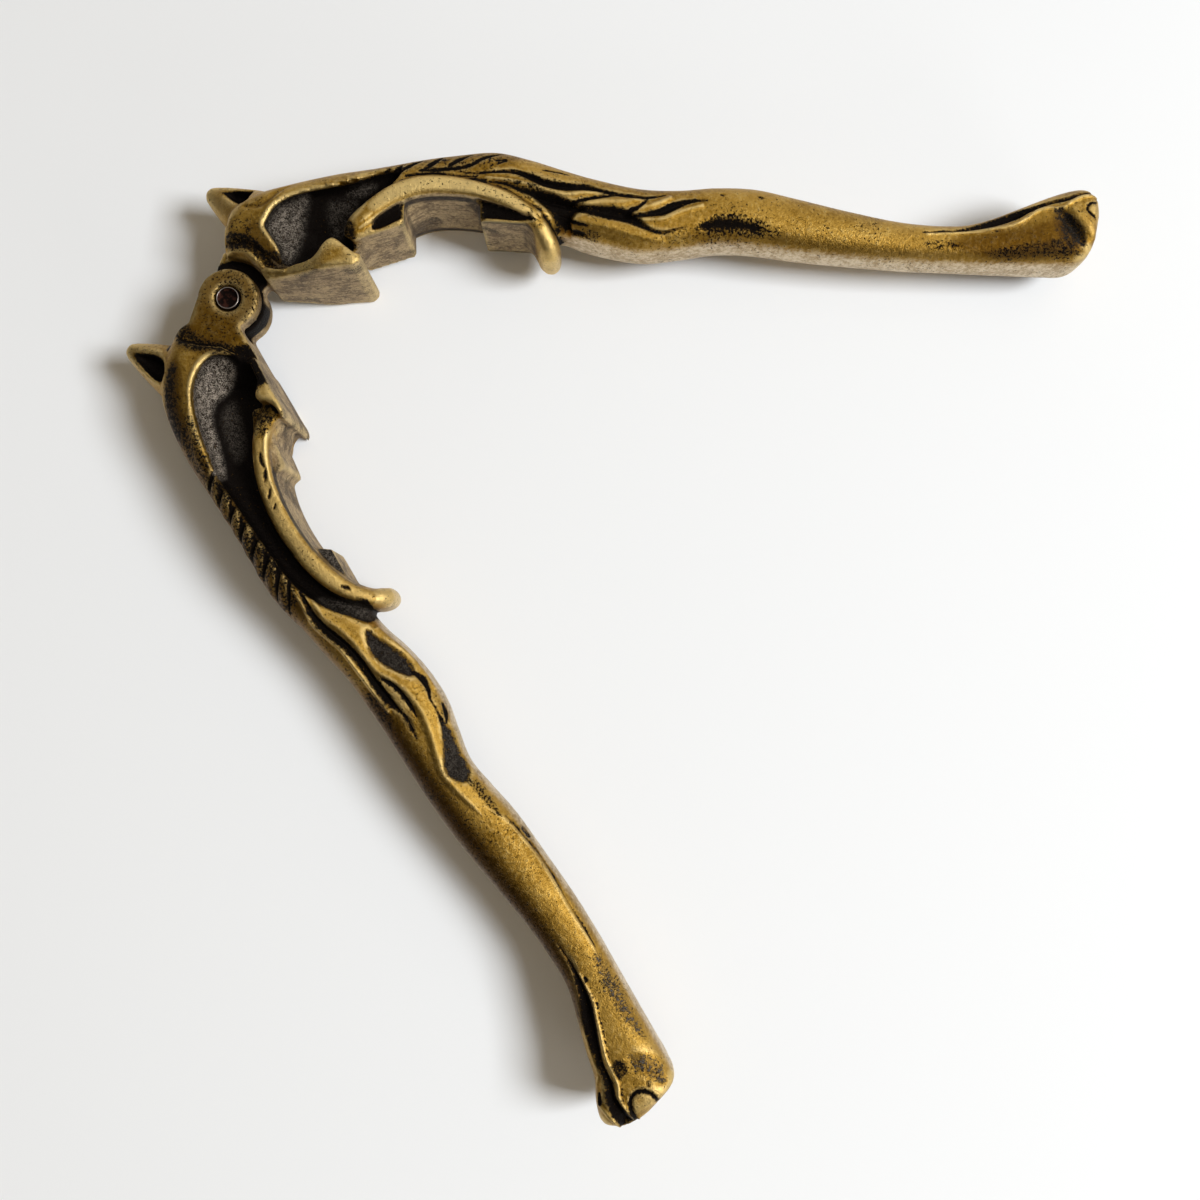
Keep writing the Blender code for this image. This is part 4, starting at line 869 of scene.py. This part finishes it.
# Averaging rounds that stand for small and large hollows, and the range over which each zone comes in
wear = {
    "smoothing": (0.5, -0.53) * 3,
    "fineRounds": 10,
    "broadRounds": 60,
    "haloRounds": 9,
    "halo": 0.65,
    "facing": (0.1, 0.5),
    "cheekEdge": (0.0, 0.4),
    "cheekBelow": (6.3, 5.5),
    "earEdge": (0.0, 0.35),
    "earBelow": (4.6, 3.6),
    "seatShadeEdge": (7.2, 6.6),
    "seatShadeBelow": (2.6, 2.0),
    "reliefStops": (0.2, 0.8),
    "sideSlope": (0.75, 0.1),
    "sideBelow": (4.4, 2.0),
    "sideFrom": (48.0, 56.0),
    "sideOuter": (0.3, -0.3),
    "wallSlope": (0.6, 0.35),
    "wallEdge": (-0.4, 0.4),
    "shadeFrom": (5.0, 5.9),
    "shadeTo": (7.2, 6.6),
    "shadeBeyond": (26.0, 29.0),
    "fineHollow": (0.03, 0.11),
    "broadHollow": (0.10, 0.50),
    "fineEdge": (0.03, 0.09),
    "broadEdge": (0.12, 0.40),
    "hollowShade": (0.10, 0.42),
    "brownFrom": (-0.3, 1.2),
}


# Relief, hollows and colour zones, among them painted shade, highlights and reflection, worked out at every
# vertex
def dressLever(body, lever):
    def ease(name, value):
        return smoothStep(*wear[name], value)

    mesh = body.data
    points, _, edges = readMesh(mesh)
    # Evens out the steps of the voxels without shrinking the shape
    for strength in wear["smoothing"]:
        points = points + strength * (averaged(points, edges, 1, 0.0) - points)
    writePoints(mesh, points)
    refine(body, lever)
    points, normals, edges = readMesh(mesh)
    xy = points[:, :2]
    facing = ease("facing", np.abs(normals[:, 2]))
    tall = np.abs(points[:, 2])
    height, mark, shine = lineRelief(xy, lever["lines"])
    keys = ("sink", "pits", "stain", "grain", "wall", "brown")
    sink, pits, stain, grain, chalky, brown = (patchShare(xy, tall, lever["patches"], key) for key in keys)
    inside = insideNear(xy, outlineThrough(lever["recess"]["outline"]))
    recess = ease("cheekEdge", inside) * ease("cheekBelow", tall)
    earInside = insideNear(xy, outlineThrough(lever["ear"]["hollow"]))
    recess = np.maximum(recess, ease("earEdge", earInside) * ease("earBelow", tall))
    # Painted shade in the gap of the seat round the hinge, made black with the patina
    fromPin = np.hypot(xy[:, 0], xy[:, 1])
    recess = np.maximum(recess, ease("seatShadeEdge", fromPin) * ease("seatShadeBelow", tall))
    lift = (height - sink) * facing * (1 - ease("reliefStops", recess))
    points = points + normals * lift[:, None]
    writePoints(mesh, points)
    points, normals, edges = readMesh(mesh)
    # Depth of each point below the mean of its surroundings, small and large
    fine = ((averaged(points, edges, wear["fineRounds"]) - points) * normals).sum(1)
    broad = ((averaged(points, edges, wear["broadRounds"]) - points) * normals).sum(1)
    jaws = insideNear(xy, sharpOutline(lever["jawZone"]))
    upright = np.abs(normals[:, 2])
    # Pale steep lower sides: a painted reflection of the bright floor, full on the side towards the jaws and
    # fainter on the outer side
    side = ease("sideSlope", upright) * ease("sideBelow", tall) * ease("sideFrom", xy[:, 0])
    side *= 0.45 + 0.55 * ease("sideOuter", normals[:, 1])
    wall = np.maximum(ease("wallSlope", upright) * ease("wallEdge", jaws), chalky)
    # Painted shade on the walls just under the top of the band, beyond the first step
    underBand = ease("shadeFrom", tall) * ease("shadeTo", tall) * ease("shadeBeyond", xy[:, 0])
    # Darkness from cut lines, hollows, stains and patina, and painted shade in the seat
    dark = np.maximum.reduce([
        mark * facing, recess, ease("fineHollow", fine) * 0.9, ease("broadHollow", broad) * 0.7,
        stain * facing])
    halo = averaged(dark[:, None], edges, wear["haloRounds"])[:, 0]
    dark = np.maximum(dark, wear["halo"] * halo)
    # Wear on raised edges, with the painted highlights of the shine lines added in
    wearAndHighlight = np.maximum(ease("fineEdge", -fine) * 0.6, ease("broadEdge", -broad) * 0.3)
    wearAndHighlight = np.maximum(wearAndHighlight, shine * facing)
    writeAttribute(mesh, "patinaAndShade", dark * (1 - wall))
    writeAttribute(mesh, "wearAndHighlight", wearAndHighlight * (1 - dark) * (1 - 0.3 * wall) * (1 - 0.6 * brown))
    writeAttribute(mesh, "wall", wall)
    # Painted shade for the walls, in broad hollows and under the band
    writeAttribute(mesh, "paintedShade", np.maximum(ease("hollowShade", broad) * 0.7, underBand * 0.8))
    writeAttribute(mesh, "side", side * (1 - wall))
    writeAttribute(mesh, "grain", grain)
    writeAttribute(mesh, "brown", brown * ease("brownFrom", tall))
    writeAttribute(mesh, "pitted", pits * facing)


def writeAttribute(mesh, name, values):
    layer = mesh.attributes.new(name, "FLOAT", "POINT")
    layer.data.foreach_set("value", np.clip(values, 0, 1).astype(np.float32))


# From the lever's own frame in millimetres to its place on the tool
def placeLever(body, direction, side):
    mesh = body.data
    points, _, _ = readMesh(mesh)
    x, y = points[:, 0], side * points[:, 1]
    c, s = math.cos(direction), math.sin(direction)
    placed = pivot + mm * np.stack([x * c - y * s, x * s + y * c, points[:, 2]], 1)
    writePoints(mesh, placed)
    if side < 0:
        mesh.flip_normals()
    mesh.shade_smooth()


# Rivet: a turned profile, closed on its axis at both ends
rivet = {
    "shank": 1.5,
    "head": 1.8,
    "top": 4.55,
    "headDepth": 0.55,
    "dish": 0.25,
    "sides": 96,
    "rimWidth": (1.60, 1.68),
}


def buildRivet(name):
    top, head, dish, sides = rivet["top"], rivet["head"], rivet["dish"], rivet["sides"]
    under = top - rivet["headDepth"]
    half = np.array([
        (0.05, top - dish), (1.0, top - 0.95 * dish), (1.45, top - 0.8 * dish), (1.6, top - 0.3 * dish),
        (1.66, top - 0.01), (1.71, top), (1.77, top - 0.06), (head, top - 0.2), (head, under),
        (rivet["shank"], under), (rivet["shank"], 0.5 * under)])
    profile = np.vstack([half, half[::-1] * (1, -1)])
    angle = 2 * np.pi * np.arange(sides) / sides
    rings = np.zeros((len(profile), sides, 3))
    rings[:, :, 0] = profile[:, :1] * np.cos(angle)
    rings[:, :, 1] = profile[:, :1] * np.sin(angle)
    rings[:, :, 2] = profile[:, 1:]
    body = ringShell(name, rings)
    points, _, _ = readMesh(body.data)
    radius = np.hypot(points[:, 0], points[:, 1])
    rim = smoothStep(*rivet["rimWidth"], radius) * smoothStep(top - 0.2, top - 0.05, np.abs(points[:, 2]))
    writeAttribute(body.data, "wearAndHighlight", rim)
    writePoints(body.data, pivot + mm * points)
    body.data.shade_smooth()
    return body


# A shader socket that takes part in sums
class Wire:
    def __init__(self, tree, socket=None):
        self.tree = tree
        self.socket = socket

    # Any node: its settings first, then the values or links of its sockets
    def node(self, kind, settings=None, sockets=None, output=0):
        made = self.tree.nodes.new(kind)
        for key, value in (settings or {}).items():
            setattr(made, key, value)
        for key, value in (sockets or {}).items():
            if isinstance(value, Wire):
                self.tree.links.new(made.inputs[key], value.socket)
            else:
                made.inputs[key].default_value = value
        return Wire(self.tree, made.outputs[output])

    def maths(self, operation, first, second):
        return self.node("ShaderNodeMath", {"operation": operation}, {0: first, 1: second})

    def __add__(self, other):
        return self.maths("ADD", self, other)

    def __sub__(self, other):
        return self.maths("SUBTRACT", self, other)

    def __rsub__(self, other):
        return self.maths("SUBTRACT", other, self)

    def __mul__(self, other):
        return self.maths("MULTIPLY", self, other)

    __radd__ = __add__
    __rmul__ = __mul__

    def most(self, other):
        return self.maths("MAXIMUM", self, other)

    # Smooth share of the way from low to high
    def between(self, low, high):
        return self.node("ShaderNodeMapRange", {"interpolation_type": "SMOOTHSTEP", "clamp": True}, {
            "Value": self, "From Min": low, "From Max": high, "To Min": 0.0, "To Max": 1.0})

    # This share of the second colour over the first
    def mixed(self, first, second):
        return self.node("ShaderNodeMix", {"data_type": "RGBA"}, {0: self, 6: first, 7: second}, 2)


def newMaterial(name):
    material = bpy.data.materials.new(name)
    material.use_nodes = True
    tree = material.node_tree
    return material, Wire(tree), tree.nodes["Principled BSDF"]


def plug(shader, socket, wire):
    wire.tree.links.new(shader.inputs[socket], wire.socket)


brass = {
    "brown": (0.080, 0.033, 0.0018, 1.0),
    "deep": (0.185, 0.092, 0.007, 1.0),
    "warm": (0.42, 0.248, 0.047, 1.0),
    "pale": (0.58, 0.40, 0.12, 1.0),
    "wearAndHighlight": (0.93, 0.715, 0.315, 1.0),
    "side": (0.70, 0.59, 0.43, 1.0),
    "sideDark": (0.40, 0.295, 0.165, 1.0),
    "tarnish": (0.060, 0.033, 0.013, 1.0),
    "patinaAndShade": (0.008, 0.006, 0.005, 1.0),
    "patinaGrain": (0.56, 0.485, 0.40, 1.0),
    "wall": (0.46, 0.335, 0.175, 1.0),
    "wallDark": (0.145, 0.095, 0.050, 1.0),
    "wallShadeAndPits": (0.028, 0.019, 0.012, 1.0),
    "roughness": 0.43,
    "bumpDistance": 0.00018,
    "bumpStrength": 0.9,
}

# Noise scales on the castings, in waves per metre
noiseScales = {
    "broad": 60,
    "clusters": 170,
    "mid": 300,
    "streaks": 1100,
    "fine": 1500,
    "pits": 2500,
    "grain": 4200,
    "dust": 8000,
}


# Cast brass: gold of uneven tone, worn pale on edges with painted highlights, pale sides as a painted
# reflection, black grain in hollows, matte grey-brown jaw walls with painted shade
def brassMaterial():
    material, wire, shader = newMaterial("castBrass")
    place = wire.node("ShaderNodeTexCoord", output="Object")
    levelled = wire.node("ShaderNodeMapping", {}, {"Vector": place, "Scale": (0.3, 0.3, 1.6)})

    def noise(size, detail=3.0, rough=0.55, distortion=0.0, over=place):
        return wire.node("ShaderNodeTexNoise", {"noise_dimensions": "3D"}, {
            "Vector": over, "Scale": noiseScales[size], "Detail": detail, "Roughness": rough,
            "Distortion": distortion})

    def attribute(name):
        return wire.node("ShaderNodeAttribute", {"attribute_name": name}, output="Fac")

    names = ("patinaAndShade", "wearAndHighlight", "wall", "pitted", "grain", "paintedShade", "side", "brown")
    patinaAndShade, wearAndHighlight, wall, pitted, lit, paintedShade, side, brown = (attribute(name) for name in names)
    broadTone, midTone = noise("broad"), noise("mid")
    fineTone, grain = noise("fine", 4.0, 0.65), noise("grain", 2.0, 0.7)
    streaks = noise("streaks", 4.0, 0.7, 0.4, levelled)
    clusters = noise("clusters", 2.0, 0.5, 0.5).between(0.52, 0.66)
    dust = noise("dust", 2.0, 0.7)

    # Gold: uneven tone, brown tarnish with painted shade on the lower leg, pale sides that are a painted
    # reflection of the floor, worn edges with painted highlights, and a dull rim round each hollow
    tone = (broadTone * 0.4 + midTone * 0.2 + fineTone * 0.4).between(0.34, 0.58)
    gold = tone.mixed(brass["deep"], brass["warm"])
    gold = ((midTone * 0.4 + fineTone * 0.6).between(0.50, 0.70) * 0.55).mixed(gold, brass["pale"])
    # Brown: tarnish, and painted shade along the outer half of the lower leg
    brownTone = (broadTone * 0.5 + midTone * 0.5).between(0.25, 0.55) * 0.22 + 0.78
    gold = (brown * brownTone).mixed(gold, brass["brown"])
    # Pale sides: a painted reflection of the bright floor, mottled
    pale = (midTone * 0.4 + fineTone * 0.6).between(0.40, 0.60).mixed(brass["sideDark"], brass["side"])
    gold = ((side + (fineTone - 0.5) * 0.7).between(0.0, 1.1) * 0.85).mixed(gold, pale)
    gold = (wearAndHighlight * 0.75).mixed(gold, brass["wearAndHighlight"])
    gold = (patinaAndShade.between(0.03, 0.5) * 0.6).mixed(gold, brass["tarnish"])

    # Black: pits and hollows, and painted shade in the seat round the hinge, with lit grains in it
    pitShare = (noise("pits", 4.0, 0.75) + pitted * 0.13 + clusters * 0.05).between(0.615, 0.665)
    darkShare = (patinaAndShade + (fineTone - 0.5) * 1.9 + (grain - 0.5) * 1.2).between(0.32, 0.68).most(pitShare)
    lightGrain = (dust * 0.5 + grain * 0.25 + fineTone * 0.25).between(0.45, 0.60)
    black = (lightGrain * (lit * 0.97 + 0.012)).mixed(brass["patinaAndShade"], brass["patinaGrain"])

    # Jaw walls: streaks, painted shade in broad hollows and under the band, worn edges with painted
    # highlights, and dark pits
    walls = (midTone * 0.3 + fineTone * 0.3 + streaks * 0.4).between(0.42, 0.57).mixed(
        brass["wallDark"], brass["wall"])
    walls = (paintedShade + (fineTone - 0.5) * 0.8).between(0.20, 0.85).mixed(walls, brass["wallShadeAndPits"])
    walls = (clusters * 0.45).mixed(walls, brass["wallDark"])
    walls = (wearAndHighlight * 0.6).mixed(walls, brass["wearAndHighlight"])
    wallPits = (streaks * 0.5 + grain * 0.3 + clusters * 0.06).between(0.43, 0.50).most(pitShare)
    walls = (wallPits * 0.8).mixed(walls, brass["wallShadeAndPits"])
    plug(shader, "Base Color", wall.mixed(darkShare.mixed(gold, black), walls))
    dull = darkShare.most(wall)
    plug(shader, "Metallic", 1 - wall * 0.6)
    plug(shader, "Roughness", brass["roughness"] + dull * 0.25 + (fineTone - 0.5) * 0.2)
    relief = fineTone * 0.7 + grain * (dull * 0.35 + 0.42) + midTone * 0.3
    relief = relief - pitShare * 1.4 - wall * wallPits * 0.8
    bump = wire.node("ShaderNodeBump", {}, {
        "Height": relief, "Distance": brass["bumpDistance"], "Strength": brass["bumpStrength"]})
    plug(shader, "Normal", bump)
    return material


steel = {
    "dark": (0.010, 0.006, 0.005, 1.0),
    "rust": (0.050, 0.019, 0.013, 1.0),
    "bright": (0.34, 0.30, 0.27, 1.0),
    "grainScale": 1600.0,
    "roughness": 0.55,
    "bumpDistance": 0.00006,
    "bumpStrength": 0.6,
}


def steelMaterial():
    material, wire, shader = newMaterial("darkSteel")
    place = wire.node("ShaderNodeTexCoord", output="Object")
    fine = wire.node("ShaderNodeTexNoise", {}, {"Vector": place, "Scale": steel["grainScale"], "Detail": 4.0})
    wearAndHighlight = wire.node("ShaderNodeAttribute", {"attribute_name": "wearAndHighlight"}, output="Fac")
    colour = fine.between(0.45, 0.62).mixed(steel["dark"], steel["rust"])
    plug(shader, "Base Color", (wearAndHighlight * fine.between(0.2, 0.45)).mixed(colour, steel["bright"]))
    shader.inputs["Metallic"].default_value = 1.0
    plug(shader, "Roughness", steel["roughness"] - wearAndHighlight * 0.25)
    plug(shader, "Normal", wire.node("ShaderNodeBump", {}, {
        "Height": fine, "Distance": steel["bumpDistance"], "Strength": steel["bumpStrength"]}))
    return material


# The tool
castBrass = brassMaterial()
darkSteel = steelMaterial()
for name, lever, knuckleTools, direction, side, body, node in (
        ("upperCasting", upperLever, upperKnuckle, upperDirection, 1, "upper", "upper_lever"),
        ("lowerCasting", lowerLever, lowerKnuckle, lowerDirection, -1, "lower", "lower_lever")):
    casting = castLever(name, lever, knuckleTools)
    dressLever(casting, lever)
    placeLever(casting, direction, side)
    casting.data.materials.clear()
    casting.data.materials.append(castBrass)
    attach(casting, body)
    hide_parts(node)
    print(name, "has", len(casting.data.polygons), "faces")

pin = buildRivet("hingeRivet")
pin.data.materials.append(darkSteel)
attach(pin, "lower")
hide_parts("hinge_pin")
print("rivet made")


# Camera and light
photoView = {
    "place": (pivot[0] + 58.804 * mm, pivot[1] - 64.001 * mm, pivot[2] + 189.0 * mm),
    "tilt": math.radians(5.0),
    "lens": 36.0,
    "sensor": 36.0,
    "nearest": 0.01,
}
camera = bpy.data.cameras.new("photoCamera")
camera.lens = photoView["lens"]
camera.sensor_width = photoView["sensor"]
camera.clip_start = photoView["nearest"]
cameraObject = bpy.data.objects.new("photoCamera", camera)
cameraObject.location = photoView["place"]
cameraObject.rotation_euler = (photoView["tilt"], 0.0, 0.0)
bpy.context.scene.collection.objects.link(cameraObject)
bpy.context.scene.camera = cameraObject

studio = {
    "floorSize": 3.0,
    "floorColour": (0.88, 0.88, 0.88, 1.0),
    "floorRoughness": 0.8,
    "floorSteps": 8,
    # Name, place, size, power, colour, and whether reflections show it
    "lamps": (
        ("window", (0.96, -0.10, 1.06), 0.50, 10.5, (1.0, 1.0, 1.0), True),
        ("wash", (0.96, -0.10, 1.06), 0.50, 13.5, (0.83, 0.91, 1.0), False),
        ("side", (0.45, -0.55, 0.16), 0.30, 0.8, (1.0, 1.0, 1.0), True),
    ),
    "ambient": 0.24,
    "fillColour": (1.0, 0.85, 0.63, 1.0),
    "mirrorColour": (1.0, 0.985, 0.96, 1.0),
    "darkSide": 0.05,
    "brightSide": 0.95,
    "brightFrom": (0.60, 0.50, 0.35),
}


# Square lamp turned to the middle of the floor
def softLamp(name, place, size, power, colour, mirrored):
    light = bpy.data.lights.new(name, "AREA")
    light.size = size
    light.energy = power
    light.color = colour
    source = bpy.data.objects.new(name, light)
    source.location = place
    source.visible_glossy = mirrored
    source.rotation_euler = (-Vector(place)).to_track_quat("-Z", "Y").to_euler()
    bpy.context.scene.collection.objects.link(source)


def paleFloor():
    half, steps = studio["floorSize"] / 2, studio["floorSteps"]
    grid = np.linspace(-half, half, steps + 1)
    x, y = np.meshgrid(grid, grid)
    points = np.stack([x.ravel(), y.ravel(), np.zeros(x.size)], 1)
    a = (np.arange(steps)[:, None] * (steps + 1) + np.arange(steps)).ravel()
    faces = np.stack([a, a + 1, a + steps + 2, a + steps + 1], 1)
    mesh = bpy.data.meshes.new("floor")
    mesh.from_pydata(points.tolist(), [], faces.tolist())
    floor = bpy.data.objects.new("floor", mesh)
    bpy.context.scene.collection.objects.link(floor)
    material, _, shader = newMaterial("paleFloor")
    shader.inputs["Base Color"].default_value = studio["floorColour"]
    shader.inputs["Roughness"].default_value = studio["floorRoughness"]
    mesh.materials.append(material)


# Even warm fill; reflections see a room that is bright on one side, and the camera sees plain white
def studioWorld():
    world = bpy.data.worlds.new("studio")
    world.use_nodes = True
    bpy.context.scene.world = world
    wire = Wire(world.node_tree)
    direction = wire.node("ShaderNodeTexCoord", output="Generated")
    lean = wire.node("ShaderNodeVectorMath", {"operation": "DOT_PRODUCT"}, {
        0: direction, 1: studio["brightFrom"]}, "Value")
    mirrored = lean.between(-0.05, 0.5) * (studio["brightSide"] - studio["darkSide"]) + studio["darkSide"]
    glossy = wire.node("ShaderNodeLightPath", output="Is Glossy Ray")
    level = glossy * (mirrored - studio["ambient"]) + studio["ambient"]
    rays = wire.node("ShaderNodeLightPath", output="Is Camera Ray")
    strength = level * (1 - rays) + rays
    background = world.node_tree.nodes["Background"]
    tint = glossy.mixed(studio["fillColour"], studio["mirrorColour"])
    plug(background, "Color", rays.mixed(tint, (1.0, 1.0, 1.0, 1.0)))
    plug(background, "Strength", strength)


for lamp in studio["lamps"]:
    softLamp(*lamp)
paleFloor()
studioWorld()
bpy.context.scene.view_settings.view_transform = "Standard"
print("studio lit")
